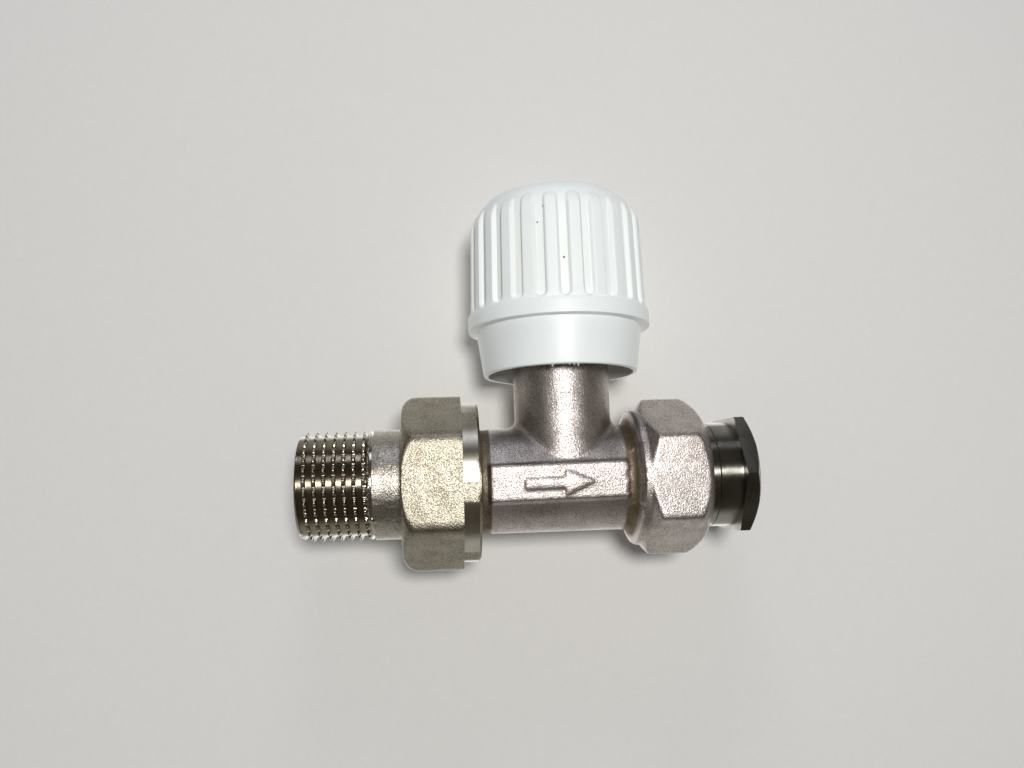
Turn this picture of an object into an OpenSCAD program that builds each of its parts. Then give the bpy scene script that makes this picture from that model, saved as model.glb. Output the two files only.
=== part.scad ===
// Straight radiator valve with a handwheel, a union tail on the left and a compression end on the right.
// Millimetres. X runs along the pipe line, Z along the stem. The origin lies on the line's axis,
// at the first full turn of the tail's thread, and the tail's end is just left of it.
// Threads are drawn as plain cylinders at their outer size; mating threads keep a small running gap.

/* [Radiator tail] */
// Outside diameter of the half inch tail thread
tail_thread_d = 20.955; // [19:0.005:23]
// Length of the tail thread behind its lead-in
tail_thread_len = 12.7; // [9:0.1:18]
// Length of the chamfer in front of the first full turn
tail_lead_in = 1.1; // [0.5:0.1:1.8]
// Diameter of the rough forged neck behind the thread
tail_neck_d = 21.3; // [19:0.1:23]
// Length of neck that shows between thread and nut
tail_neck_show = 5.6; // [2:0.1:12]
// Width across flats of the broached key hexagon in the bore
tail_key_af = 13; // [10:0.1:14]
// Depth of the key hexagon
tail_key_depth = 11; // [6:0.1:14]
// Diameter of the collar that the union nut pulls on
tail_collar_d = 24.6; // [23.4:0.1:25.4]
// Thickness of that collar
tail_collar_w = 3.6; // [2.5:0.1:5]
// Diameter of the spigot that enters the body
tail_nose_d = 18.0; // [16.8:0.1:18.4]
// Length of that spigot
tail_nose_len = 3.0; // [2.6:0.1:4]
// Cord diameter of the tail's O-ring
tail_ring_cord = 1.4; // [1:0.1:1.6]

/* [Union nut] */
// Width across flats of the union nut
nut_af = 30; // [29.6:0.1:34]
// Whole length of the union nut
nut_len = 14.7; // [13:0.1:18]
// Length of the turned collar at its right end
nut_collar_w = 3.2; // [1.5:0.1:4.5]
// Diameter of the turned collar
nut_collar_d = 30.8; // [28.6:0.1:33]
// Diameter at which the forged corners end
nut_corner_d = 33.9; // [32:0.1:38]
// Thickness of the lip behind the tail's collar
nut_lip = 2.8; // [2:0.1:4]
// Angle of the nut's flats from upright
nut_turn = 1; // [-30:0.5:30]
// Outside diameter of the union thread
union_thread_d = 26.2; // [25.8:0.05:27]

/* [Body run] */
// Diameter of the body's barrel
barrel_d = 20.5; // [19:0.1:23]
// Distance from the union face to the stem's axis
union_to_stem = 25.2; // [24:0.1:34]
// Distance from the stem's axis to the end of the pipe hexagon
stem_to_end = 26.6; // [25.5:0.05:34]
// Width across flats of the pipe hexagon
body_af = 27; // [26:0.1:32]
// Diameter at which its forged corners end
body_corner_d = 30.8; // [29:0.1:36]
// Angle of its flats from upright
body_turn = 1.9; // [-5:0.1:5]
// Length of the pipe hexagon at its corners
body_hex_len = 7.6; // [5:0.1:10]
// Height of the flat pads along the barrel
pad_h = 7.1; // [5:0.1:9]
// Distance of the pad faces from the line's axis
pad_reach = 10.7; // [10.4:0.05:12]
// Diameter of the water way
water_d = 14.8; // [11:0.1:15.4]
// Width of the turned band beside the nut
turned_band = 2.1; // [1:0.1:4]

/* [Stem tower] */
// Outside diameter of the tower
tower_d = 19.1; // [18.4:0.1:20]
// Height of the tower above the line's axis
tower_top = 24; // [22:0.1:30]
// Radius of the forged fillet at its foot
tower_fillet = 1.9; // [0.8:0.1:2.6]
// Diameter of the chamber above the seat
chamber_d = 14.8; // [14:0.1:15.2]
// Diameter of the hole through the seat
seat_d = 9.6; // [8.4:0.1:10]
// Height of the seat's top above the line's axis
seat_top = 2.2; // [1.8:0.1:3]
// Thickness of the wall that carries the seat
seat_wall = 2.0; // [1.4:0.1:2.4]

/* [Compression end] */
// Outside diameter of the compression thread
gland_thread_d = 20.6; // [20:0.05:21.2]
// Length of shank that shows between body and screw head
gland_show = 6.25; // [3:0.05:8]
// Length of thread that is in the body
gland_engage = 4.8; // [4.6:0.1:6]
// Width across flats of the screw head
gland_af = 22; // [21.2:0.1:27]
// Thickness of the screw head
gland_head = 3.15; // [2.5:0.05:6]
// Diameter of the hole for the pipe
pipe_d = 15.2; // [14.2:0.1:15.6]
// Depth of the pipe socket behind the cone
socket_len = 3.0; // [2:0.1:5]
// Length of the compression ring
olive_len = 4.3; // [3.6:0.1:5]
// Largest diameter of the compression ring
olive_d = 18.6; // [17.4:0.1:19.2]
// How far the screw can still go in
gland_reserve = 1.8; // [1.8:0.1:2.4]
// Angle of the head's flats from upright
gland_turn = 31.4; // [0:0.1:60]

/* [Headwork] */
// Outside diameter of the bonnet's thread in the tower
bonnet_thread_d = 15.9; // [15.6:0.05:16.2]
// Length of that thread
bonnet_thread_len = 9; // [7:0.1:10]
// Width across flats of the bonnet's hexagon
bonnet_af = 19; // [18:0.1:22]
// Thickness of that hexagon
bonnet_hex_h = 5.1; // [3.5:0.1:6]
// Thickness of the gasket under the bonnet
gasket_t = 0.9; // [0.5:0.05:1.5]
// Diameter of the bonnet's neck
neck_d = 12; // [11.6:0.1:13]
// Length of that neck
neck_len = 5.5; // [5:0.1:7]
// Diameter of the packing chamber in the neck
packing_d = 9.6; // [9.4:0.05:10]
// Width across flats of the packing nut
packing_nut_af = 14; // [13.6:0.1:17]
// Thickness of the packing nut above the neck
packing_nut_cap = 1.8; // [1.2:0.1:3]
// Cord diameter of the packing ring
packing_cord = 1.7; // [1.5:0.05:1.8]

/* [Spindle] */
// Diameter of the plain spindle
spindle_d = 6; // [5.6:0.1:6.2]
// Outside diameter of the spindle's thread
spindle_thread_d = 7.8; // [7.4:0.05:8.4]
// Length of the spindle's thread
spindle_thread_len = 9; // [8:0.1:9.6]
// Thread pitch of the spindle
spindle_pitch = 1.5; // [1:0.25:1.5]
// Turns from closed to open
spindle_turns = 2.5; // [1.5:0.25:2.5]
// Diameter of the stop collar
spindle_collar_d = 9.2; // [8.8:0.1:11]
// Width across the square that drives the handwheel
drive_af = 4.3; // [3.8:0.1:4.3]
// Length of that square
drive_len = 6.5; // [4:0.1:8]
// Cord diameter of the spindle's O-ring
spindle_ring_cord = 1.2; // [0.8:0.05:1.4]

/* [Disc] */
// Diameter of the disc holder
disc_d = 13.8; // [12.8:0.1:14]
// Diameter of the rubber disc
seal_d = 12.8; // [12:0.1:13]
// Thickness of the rubber disc
seal_t = 2.5; // [1.8:0.1:3]
// Gap between disc and seat when the valve is shut by hand
seal_gap = 0.1; // [0.05:0.05:0.3]
// Thread diameter of the stud below the disc holder
stud_d = 3; // [2.5:0.1:3.2]

/* [Handwheel] */
// Diameter across the ribs at the collar
wheel_d = 35.5; // [32:0.1:40]
// Diameter across the ribs at the shoulder
wheel_top_d = 34.8; // [31:0.1:40]
// Depth of the grooves between the ribs
groove_depth = 0.85; // [0.4:0.05:1.2]
// Number of ribs
rib_count = 24; // [18:1:30]
// Width of a rib
rib_w = 3.0; // [2:0.1:3.4]
// Angle of the first rib from the front
rib_phase = 4.9; // [-10:0.1:10]
// Diameter of the collar below the ribs
wheel_collar_d = 36.6; // [35:0.1:41]
// Height of that collar
wheel_collar_h = 3.15; // [2:0.05:5]
// Height of the skirt below the collar
skirt_h = 9; // [6:0.1:9.5]
// Diameter of the skirt at the collar
skirt_top_d = 33.2; // [31:0.1:35]
// Diameter of the skirt at its rim
skirt_rim_d = 30.9; // [29:0.1:33]
// Wall of the skirt
skirt_wall = 1.05; // [0.8:0.05:1.6]
// Height of the ribbed crown above the collar, to its shoulder
crown_h = 17.8; // [15:0.1:22]
// Radius of the crown's shoulder
crown_round = 6.6; // [5:0.1:8]
// Rise of the domed top inside the shoulder
dome_rise = 0.7; // [0.3:0.1:1.2]
// Wall of the crown
crown_wall = 1.9; // [1.4:0.1:2.6]
// Diameter of the hub
hub_d = 10.8; // [10:0.1:13]
// Height of the rim above the line's axis
wheel_rim_z = 20.8; // [20.4:0.1:24]
// Diameter of the cap that hides the screw
cap_d = 9; // [8.4:0.1:10]

/* [Hidden] */

// Colours as they show
nickel = "#b8b0a2";
nickel_nut = "#b5ab90";
bright = "#c4bda8";
brass = "#b8974f";
rubber = "#232323";
steel = "#9c9c9c";
white_abs = "#eceee6";
red_fibre = "#8c4433";

// Gaps: threads and running fits, faces that meet, and parts that must stay clear
thread_gap = 0.06;
face_gap = 0.1;
free_gap = 0.3;
seal_play = 0.03;
// A solid that joins another reaches this far into it
bite = 0.4;
// A cut runs this far past the surface it opens
past = 1;
round_fn = 96;
small_fn = 48;
arc_steps = 8;

// Places along X
tail_end_x = -tail_lead_in;
nut_x = tail_thread_len + tail_neck_show;
collar_x = nut_x + nut_lip + face_gap;
union_face_x = collar_x + tail_collar_w + face_gap;
stem_x = union_face_x + union_to_stem;
body_end_x = stem_x + stem_to_end;
nut_end_x = nut_x + nut_len;
gland_head_x = body_end_x + gland_show;
gland_end_x = gland_head_x + gland_head;
gland_tip_x = body_end_x - gland_engage;
olive_gap = 0.15;
olive_x = gland_tip_x - olive_len + olive_gap;
hex_end_chamfer = 2.9;
flange_w = 5.6;
flange_x = body_end_x - hex_end_chamfer - body_hex_len - flange_w;

// Bores along X
thread_bore_d = gland_thread_d + 2 * thread_gap;
cone_x = olive_x - gland_reserve - face_gap;
cone_len = 1.6;
socket_x = cone_x - cone_len - socket_len;
nose_bore_d = tail_nose_d + 2 * 0.35;
nose_bore_len = tail_nose_len + 0.4;

// Heights above the line's axis, with the valve shut
travel = spindle_pitch * spindle_turns;
chamber_floor = seat_top - 1;
bonnet_foot_z = tower_top - bonnet_thread_len;
bonnet_hex_z = tower_top + gasket_t + 2 * face_gap;
neck_z = bonnet_hex_z + bonnet_hex_h;
neck_top_z = neck_z + neck_len;
packing_z = neck_z + 1.4;
packing_washer_t = 0.8;
packing_ring_z = packing_z + packing_washer_t + 2 * seal_play + packing_cord / 2;
packing_nut_z = neck_z + 2.0;
packing_nut_top_z = neck_top_z + 0.2 + packing_nut_cap;
collar_top_z = bonnet_foot_z - travel - 0.15;
spindle_thread_top_z = collar_top_z + spindle_thread_len;
seal_z = seat_top + seal_gap;
holder_z = seal_z + seal_t + seal_play;
button_h = 1.5;
button_z = holder_z + 0.65;
clip_t = 0.7;
clip_z = button_z + button_h + free_gap;
holder_top_z = clip_z + clip_t + 0.9;
spindle_collar_z = holder_top_z + free_gap;
spindle_ring_z = bonnet_foot_z + spindle_thread_len + 1.2;
wheel_collar_z = wheel_rim_z + skirt_h;
crown_z = wheel_collar_z + wheel_collar_h;
shoulder_z = crown_z + crown_h;
crown_top_z = shoulder_z + crown_round + dome_rise;
hub_plate_z = spindle_top_z() + face_gap;
hub_plate_t = 1.2;
screw_head_z = hub_plate_z + hub_plate_t + face_gap / 2;
screw_head_h = 2.3;

function spindle_top_z() = packing_nut_top_z + travel + 1.6 + drive_len;

// Points on an arc, centre c, radius r, from angle a to angle b
function arc(c, r, a, b) = [for (i = [0:arc_steps])
    c + r * [cos(a + (b - a) * i / arc_steps), sin(a + (b - a) * i / arc_steps)]];

// Mirror image of an outline's order, to run back along it
function back(points) = [for (i = [len(points) - 1:-1:0]) points[i]];

// Circumradius of a hexagon from its width across flats
function hex_r(af) = af / 2 / cos(30);

// Turns what is drawn up Z to lie along X, starting at x
module along_x(x = 0) {
    translate([x, 0, 0]) rotate([0, 90, 0]) children();
}

// Ring or disc along X or Z, drawn up Z
module ring(d, hole, h) {
    difference() {
        cylinder(d = d, h = h, $fn = round_fn);
        translate([0, 0, -past]) cylinder(d = hole, h = h + 2 * past, $fn = round_fn);
    }
}

// Hexagonal prism, drawn up Z
module hexagon(af, h, turn = 0) {
    rotate([0, 0, turn]) cylinder(r = hex_r(af), h = h, $fn = 6);
}

// Solid of revolution from [height, radius] points, closed along its axis
module turned(points) {
    last = len(points) - 1;
    rotate_extrude($fn = round_fn)
        polygon(concat([[0, points[0][0]]], [for (p = points) [p[1], p[0]]], [[0, points[last][0]]]));
}

// O-ring around Z, its middle at height 0
module o_ring(mean_d, cord) {
    rotate_extrude($fn = round_fn) translate([mean_d / 2, 0]) circle(d = cord, $fn = 24);
}

// Body of forged brass: barrel, union thread, pipe hexagon, stem tower and the seat inside

// Outline of the pipe end: fillet, round flange, cone onto the hexagon, and the forged end chamfer
function pipe_end_outline() = let (
    foot = barrel_d / 2,
    flange_r = body_af / 2 - 0.15,
    corner = body_corner_d / 2,
    rise = flange_r - foot - 0.9,
    hex_x = body_end_x - hex_end_chamfer - body_hex_len,
    flat_x = hex_x - 1.6)
    concat(
        [[flange_x - bite, foot]],
        arc([flange_x, foot + rise], rise, -90, 0),
        back(arc([flange_x + rise + 0.9, foot + rise], 0.9, 90, 180)),
        [[flat_x, flange_r + 0.05], [hex_x, corner], [hex_x + body_hex_len, corner]],
        [[body_end_x - 2.1, corner - 0.5], [body_end_x - 0.95, body_af / 2], [body_end_x, body_af / 2 - 1.3]]);

// Fillet between tower and barrel: the path of a ball that rolls in the corner
module tower_foot() {
    steps = 48;
    sides = 6;
    rt = tower_d / 2;
    rb = barrel_d / 2;
    f = tower_fillet;
    dip = 0.05;
    function centre(a) = let (x = (rt + f) * cos(a), y = (rt + f) * sin(a))
        [x, y, sqrt(pow(rb + f, 2) - y * y)];
    function section(a) = let (
        c = centre(a),
        t = [rt * cos(a), rt * sin(a), c[2]] - c,
        b = [0, c[1], c[2]] * (rb / (rb + f)) + [c[0], 0, 0] - c,
        grow = 1 + dip / f,
        turn = acos(t * b / (f * f)))
        concat(
            [c + t + [-1.2 * cos(a), -1.2 * sin(a), 0]],
            [for (i = [0:sides]) let (s = i / sides)
                c + grow * (t * sin((1 - s) * turn) + b * sin(s * turn)) / sin(turn)],
            [c + b - [0, c[1], c[2]] * (1.2 / (rb + f))]);
    ringlen = sides + 3;
    points = [for (k = [0:steps - 1]) each section(360 * k / steps)];
    faces = [for (k = [0:steps - 1]) for (i = [0:ringlen - 1])
        let (n = (k + 1) % steps, j = (i + 1) % ringlen)
        [k * ringlen + i, n * ringlen + i, n * ringlen + j, k * ringlen + j]];
    translate([stem_x, 0, 0]) polyhedron(points = points, faces = faces, convexity = 4);
}

// Flat pads along the front and the back of the barrel, with a little draft on their edges
module barrel_pads() {
    start = nut_end_x + turned_band;
    draft = 0.35;
    for (side = [0, 180])
        along_x(start) rotate([0, 0, side])
            linear_extrude(flange_x + 1.4 - start)
                polygon([[-pad_h / 2 - draft, 0], [pad_h / 2 + draft, 0],
                         [pad_h / 2, pad_reach], [-pad_h / 2, pad_reach]]);
}

module body_shell() {
    thread_end = nut_end_x - face_gap;
    along_x() turned([
        [union_face_x, union_thread_d / 2 - 0.9], [union_face_x + 0.9, union_thread_d / 2],
        [thread_end - 0.8, union_thread_d / 2], [thread_end, union_thread_d / 2 - 0.8],
        [thread_end, barrel_d / 2 - 0.2], [nut_end_x + turned_band, barrel_d / 2 - 0.2],
        [nut_end_x + turned_band, barrel_d / 2], [flange_x + bite, barrel_d / 2]]);
    intersection() {
        along_x() turned(pipe_end_outline());
        rotate([body_turn, 0, 0])
            along_x(flange_x - past) hexagon(body_af, body_end_x - flange_x + 2 * past);
    }
    barrel_pads();
    translate([stem_x, 0, 0]) turned([
        [0, tower_d / 2], [tower_top - 0.5, tower_d / 2], [tower_top, tower_d / 2 - 0.5]]);
    tower_foot();
}

// Water ways, chamber, threads and sockets that are cut from the shell
module body_bores() {
    way = water_d / 2;
    left_end = stem_x - seat_d / 2 - seat_wall;
    right_start = stem_x + chamber_d / 2 + seat_wall;
    along_x(union_face_x - past) cylinder(d = nose_bore_d, h = nose_bore_len + past, $fn = round_fn);
    along_x(union_face_x) cylinder(r = way, h = left_end - union_face_x, $fn = round_fn);
    // Upper half passage from the left water way to the chamber
    intersection() {
        along_x(left_end - past) cylinder(r = way, h = stem_x - left_end + past, $fn = round_fn);
        translate([left_end - past, -way, chamber_floor]) cube([stem_x - left_end + past, 2 * way, way]);
    }
    // Chamber above the seat, left round a raised seat ring
    translate([stem_x, 0, 0]) difference() {
        translate([0, 0, chamber_floor])
            cylinder(d = chamber_d, h = bonnet_foot_z - chamber_floor + face_gap, $fn = round_fn);
        cylinder(d = seat_d + 2.4, h = seat_top, $fn = round_fn);
    }
    translate([stem_x, 0, bonnet_foot_z])
        cylinder(d = bonnet_thread_d + 2 * thread_gap, h = tower_top - bonnet_foot_z + past, $fn = round_fn);
    // Hole through the seat and the passage below it
    translate([stem_x, 0, chamber_floor - seat_wall - past])
        cylinder(d = seat_d, h = seat_top - chamber_floor + seat_wall + 2 * past, $fn = round_fn);
    intersection() {
        along_x(stem_x - seat_d / 2) cylinder(r = way, h = right_start - stem_x + seat_d / 2 + past, $fn = round_fn);
        translate([stem_x - seat_d / 2, -way, -way])
            cube([right_start - stem_x + seat_d / 2 + past, 2 * way, way + chamber_floor - seat_wall]);
    }
    along_x(right_start) cylinder(d = pipe_d - 2.2, h = body_end_x - right_start, $fn = round_fn);
    // Pipe socket, cone for the compression ring, and thread for the screw
    along_x(socket_x) cylinder(d = pipe_d, h = body_end_x - socket_x, $fn = round_fn);
    along_x() turned([
        [cone_x - cone_len, pipe_d / 2 - 0.01], [cone_x, olive_d / 2 + free_gap],
        [cone_x + 0.01, thread_bore_d / 2], [body_end_x + past, thread_bore_d / 2]]);
}

module body() {
    color(nickel) difference() {
        body_shell();
        body_bores();
    }
}

// Tail that screws into the radiator, with its O-ring
module tailpiece() {
    groove_mid = collar_x + tail_collar_w + tail_nose_len / 2;
    color(nickel) along_x() difference() {
        turned([
            [tail_end_x, tail_thread_d / 2 - 0.9], [0, tail_thread_d / 2],
            [tail_thread_len, tail_thread_d / 2], [tail_thread_len, tail_neck_d / 2],
            [collar_x, tail_neck_d / 2], [collar_x, tail_collar_d / 2],
            [collar_x + tail_collar_w, tail_collar_d / 2], [collar_x + tail_collar_w, tail_nose_d / 2],
            [collar_x + tail_collar_w + tail_nose_len - 0.4, tail_nose_d / 2],
            [collar_x + tail_collar_w + tail_nose_len, tail_nose_d / 2 - 0.4]]);
        translate([0, 0, tail_end_x - past]) hexagon(tail_key_af, tail_key_depth + tail_lead_in + past);
        translate([0, 0, tail_end_x]) cylinder(d = tail_key_af - 0.02, h = nut_end_x, $fn = round_fn);
        translate([0, 0, groove_mid - tail_ring_cord / 2 - 0.1])
            ring(tail_nose_d + 2 * past, nose_bore_d - 2 * tail_ring_cord - 4 * seal_play, tail_ring_cord + 0.2);
    }
}

module tail_o_ring() {
    mid = collar_x + tail_collar_w + tail_nose_len / 2;
    color(rubber) along_x(mid) o_ring(nose_bore_d - tail_ring_cord - 2 * seal_play, tail_ring_cord);
}

// Union nut: forged hexagon with rounded corners, and a turned collar at its thread end
module union_nut() {
    corner = nut_corner_d / 2;
    color(nickel_nut) rotate([nut_turn, 0, 0]) along_x() difference() {
        intersection() {
            turned(concat(
                [[nut_x, nut_af / 2 - 1.7]],
                back(arc([nut_x + 2.9, corner - 2.9], 2.9, 90, 165)),
                [[nut_end_x - nut_collar_w, corner], [nut_end_x - nut_collar_w, nut_collar_d / 2],
                 [nut_end_x - 0.4, nut_collar_d / 2], [nut_end_x, nut_collar_d / 2 - 0.4]]));
            translate([0, 0, nut_x]) hexagon(nut_af, nut_len);
        }
        translate([0, 0, nut_x - past])
            cylinder(d = tail_neck_d + 2 * free_gap, h = nut_len + 2 * past, $fn = round_fn);
        translate([0, 0, nut_x + nut_lip])
            cylinder(d = union_thread_d + 2 * thread_gap, h = nut_len, $fn = round_fn);
    }
}

// Compression screw with its hexagon head, and the ring that it squeezes onto the pipe
module gland_screw() {
    r = gland_thread_d / 2;
    wide = hex_r(gland_af) + past;
    step_x = body_end_x + 1.8;
    step = 0.2;
    color(bright) along_x() difference() {
        union() {
            turned([
                [gland_tip_x, r - 0.8], [gland_tip_x + 0.8, r], [body_end_x - 0.1, r], [body_end_x + 0.1, r - step],
                [step_x, r - step], [step_x + step, r], [gland_head_x + bite, r]]);
            intersection() {
                translate([0, 0, gland_head_x]) hexagon(gland_af, gland_head, gland_turn);
                turned([
                    [gland_head_x - past, wide], [gland_end_x - (wide - gland_af / 2 + 0.4) * tan(30), wide],
                    [gland_end_x + past, gland_af / 2 - 0.4 - past / tan(30)]]);
            }
        }
        translate([0, 0, gland_tip_x - past])
            cylinder(d = pipe_d, h = gland_end_x - gland_tip_x + 2 * past, $fn = round_fn);
        // Mouth that pushes the ring, and the eased edge where the pipe goes in
        mouth = olive_d / 2 - 0.4;
        turned([[gland_tip_x - past, mouth + past], [gland_tip_x + mouth - pipe_d / 2 + past, pipe_d / 2 - past]]);
        turned([[gland_end_x - 0.6 - past, pipe_d / 2 - past], [gland_end_x + past, pipe_d / 2 + 0.6 + past]]);
    }
}

module olive() {
    r = olive_d / 2;
    slope = 0.7 * (olive_d - pipe_d) / 2;
    color(brass) along_x(olive_x) difference() {
        turned([[0, r - slope], [olive_len * 0.4, r], [olive_len * 0.6, r], [olive_len, r - slope]]);
        translate([0, 0, -past]) cylinder(d = pipe_d, h = olive_len + 2 * past, $fn = round_fn);
    }
}

// Headwork that is screwed into the tower: bonnet, gasket, packing and packing nut
module bonnet() {
    color(brass) translate([stem_x, 0, 0]) difference() {
        union() {
            translate([0, 0, bonnet_foot_z + face_gap])
                cylinder(d = bonnet_thread_d, h = bonnet_hex_z + bite - bonnet_foot_z - face_gap, $fn = round_fn);
            intersection() {
                translate([0, 0, bonnet_hex_z]) hexagon(bonnet_af, bonnet_hex_h);
                turned([
                    [bonnet_hex_z - past, hex_r(bonnet_af)], [neck_z - 0.8, hex_r(bonnet_af)],
                    [neck_z, bonnet_af / 2 - 0.2]]);
            }
            translate([0, 0, neck_z - bite]) cylinder(d = neck_d, h = neck_len + bite, $fn = round_fn);
        }
        // Thread for the spindle, plain bore for its O-ring, and the packing chamber
        translate([0, 0, bonnet_foot_z - past])
            cylinder(d = spindle_thread_d + 2 * thread_gap, h = spindle_thread_len + past, $fn = round_fn);
        translate([0, 0, bonnet_foot_z]) cylinder(d = ring_bore_d(), h = neck_top_z, $fn = round_fn);
        translate([0, 0, packing_z]) cylinder(d = packing_d, h = neck_len + past, $fn = round_fn);
    }
}

function ring_bore_d() = spindle_d + 0.8;

module bonnet_gasket() {
    color(red_fibre) translate([stem_x, 0, tower_top + face_gap])
        ring(tower_d - 1.2, bonnet_thread_d + 2 * free_gap, gasket_t);
}

module packing_washer() {
    color(brass) translate([stem_x, 0, packing_z + seal_play])
        ring(packing_d - 4 * seal_play, spindle_d + 2 * thread_gap, packing_washer_t);
}

module packing_ring() {
    color(rubber) translate([stem_x, 0, packing_ring_z])
        o_ring(spindle_d + packing_cord + 2 * seal_play, packing_cord);
}

module packing_nut() {
    nose_z = packing_ring_z + packing_cord / 2 + seal_play;
    color(brass) translate([stem_x, 0, 0]) difference() {
        intersection() {
            translate([0, 0, packing_nut_z]) hexagon(packing_nut_af, packing_nut_top_z - packing_nut_z);
            turned([
                [packing_nut_z, hex_r(packing_nut_af)], [packing_nut_top_z - 0.7, hex_r(packing_nut_af)],
                [packing_nut_top_z, packing_nut_af / 2 - 0.2]]);
        }
        translate([0, 0, packing_nut_z - past])
            cylinder(d = neck_d + 2 * thread_gap, h = nose_z - packing_nut_z + past, $fn = round_fn);
        // Slot for the neck's end, round the nose that presses on the packing
        translate([0, 0, packing_nut_z])
            ring(neck_d + 2 * thread_gap, packing_d - 4 * seal_play, neck_top_z + 0.2 - packing_nut_z);
        translate([0, 0, packing_nut_z])
            cylinder(d = spindle_d + 2 * thread_gap, h = packing_nut_top_z, $fn = small_fn);
    }
}

// Spindle: button for the disc holder, stop collar, thread, O-ring groove, plain stem and drive square
module spindle() {
    r = spindle_d / 2;
    top = spindle_top_z();
    square_z = top - drive_len;
    screw_depth = 10;
    color(brass) translate([stem_x, 0, 0]) difference() {
        union() {
            turned([
                [button_z, button_d() / 2], [button_z + button_h, button_d() / 2],
                [button_z + button_h, button_neck_d() / 2], [spindle_collar_z, button_neck_d() / 2],
                [spindle_collar_z, spindle_collar_d / 2], [collar_top_z, spindle_collar_d / 2],
                [collar_top_z, spindle_thread_d / 2], [spindle_thread_top_z - 0.6, spindle_thread_d / 2],
                [spindle_thread_top_z, r], [square_z, r]]);
            translate([-drive_af / 2, -drive_af / 2, square_z - bite]) cube([drive_af, drive_af, drive_len + bite]);
        }
        translate([0, 0, spindle_ring_z - spindle_ring_cord / 2 - 0.1])
            ring(spindle_d + 2 * past, ring_bore_d() - 2 * spindle_ring_cord - 4 * seal_play, spindle_ring_cord + 0.2);
        translate([0, 0, top - screw_depth]) cylinder(d = screw_d() + 0.1, h = screw_depth + past, $fn = small_fn);
    }
}

function button_d() = 5.8;
function button_neck_d() = button_d() * 0.64;
function screw_d() = 3;

module spindle_o_ring() {
    color(rubber) translate([stem_x, 0, spindle_ring_z])
        o_ring(ring_bore_d() - spindle_ring_cord - 2 * seal_play, spindle_ring_cord);
}

// Disc holder that swivels on the spindle, the clip that keeps it there, the rubber disc and its nut
module disc_holder() {
    socket_d = button_d() + 2 * free_gap;
    lip = 1.3;
    color(brass) translate([stem_x, 0, 0]) difference() {
        union() {
            translate([0, 0, holder_z - lip]) cylinder(d = disc_d, h = holder_top_z - holder_z + lip, $fn = round_fn);
            translate([0, 0, stud_end_z()]) cylinder(d = stud_d, h = holder_z - stud_end_z() + bite, $fn = small_fn);
        }
        difference() {
            translate([0, 0, holder_z - lip - past])
                cylinder(d = seal_d + 2 * seal_play, h = lip + past, $fn = round_fn);
            translate([0, 0, stud_end_z() - past])
                cylinder(d = stud_d, h = holder_z - stud_end_z() + 2 * past, $fn = small_fn);
        }
        translate([0, 0, button_z - 0.2])
            cylinder(d = socket_d, h = holder_top_z - button_z + past, $fn = small_fn);
        translate([0, 0, clip_z - seal_play]) cylinder(d = socket_d + 1.2, h = clip_t + 2 * seal_play, $fn = small_fn);
    }
}

function stud_end_z() = seal_z - 2.4;

// Sprung wire clip with the gap that lets it close
module swivel_clip() {
    outer = button_d() + 2 * free_gap + 1.2 - 4 * seal_play;
    inner = button_neck_d() + 2 * free_gap;
    gap = 1.2;
    color(steel) translate([stem_x, 0, clip_z]) difference() {
        ring(outer, inner, clip_t);
        translate([0, -gap / 2, -past]) cube([outer, gap, clip_t + 2 * past]);
    }
}

module disc_seal() {
    color(rubber) translate([stem_x, 0, seal_z]) ring(seal_d, stud_d + 2 * seal_play, seal_t);
}

module disc_nut() {
    nut_h = 2.2;
    color(brass) translate([stem_x, 0, seal_z - seal_play - nut_h]) difference() {
        hexagon(5.5, nut_h);
        translate([0, 0, -past]) cylinder(d = stud_d + 2 * seal_play, h = nut_h + 2 * past, $fn = small_fn);
    }
}

// Handwheel: skirt, collar and ribbed crown as one moulding, open below

// Outline of the crown below the ribs, from collar to the middle of the dome
function crown_outline(extra, shoulder, top_r) = let (
    low = wheel_d / 2 - groove_depth + extra,
    high = wheel_top_d / 2 - groove_depth + extra)
    concat([[crown_z - bite, low]], [for (p = back(arc([high - shoulder, shoulder_z], shoulder, 90, 0))) [p[1], p[0]]],
           [[crown_top_z + top_r, 0.01]]);

// Ribs: upright pads with rounded tops, cut from a ring that turns in at the shoulder
module crown_ribs() {
    arch_z = shoulder_z + 1.6;
    tip = wheel_d / 2 + past;
    root = wheel_top_d / 2 - 2.3;
    lap = 0.9;
    turn_in = 5.6;
    for (k = [0:rib_count - 1])
        rotate([0, 0, 270 + rib_phase + k * 360 / rib_count]) intersection() {
            rotate([0, 0, -10]) rotate_extrude(angle = 20, $fn = round_fn) polygon(concat(
                [[root, crown_z - bite], [wheel_d / 2, crown_z - bite]],
                arc([wheel_top_d / 2 - turn_in, shoulder_z - lap], turn_in, 0, 45),
                [[root, arch_z + rib_w / 2 + past]]));
            union() {
                translate([root - past, -rib_w / 2, crown_z - past])
                    cube([tip - root + past, rib_w, arch_z - crown_z + past]);
                translate([root - past, 0, arch_z]) rotate([0, 90, 0])
                    cylinder(d = rib_w, h = tip - root + past, $fn = small_fn);
            }
        }
}

// Low band that joins the ribs above the collar; its round notches are the feet of the grooves
module groove_feet() {
    pitch = 360 / rib_count;
    groove_w = PI * wheel_d / rib_count - rib_w;
    foot_z = crown_z + 0.55 + groove_w / 2;
    difference() {
        translate([0, 0, crown_z - bite])
            ring(wheel_d - 0.04, wheel_top_d - 6, foot_z - crown_z + bite);
        for (k = [0:rib_count - 1])
            rotate([0, 0, 90 * 3 + rib_phase + (k + 0.5) * pitch])
                translate([wheel_d / 2 - groove_depth, 0, foot_z]) rotate([0, 90, 0])
                    cylinder(d = groove_w, h = 3, $fn = small_fn);
    }
}

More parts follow.
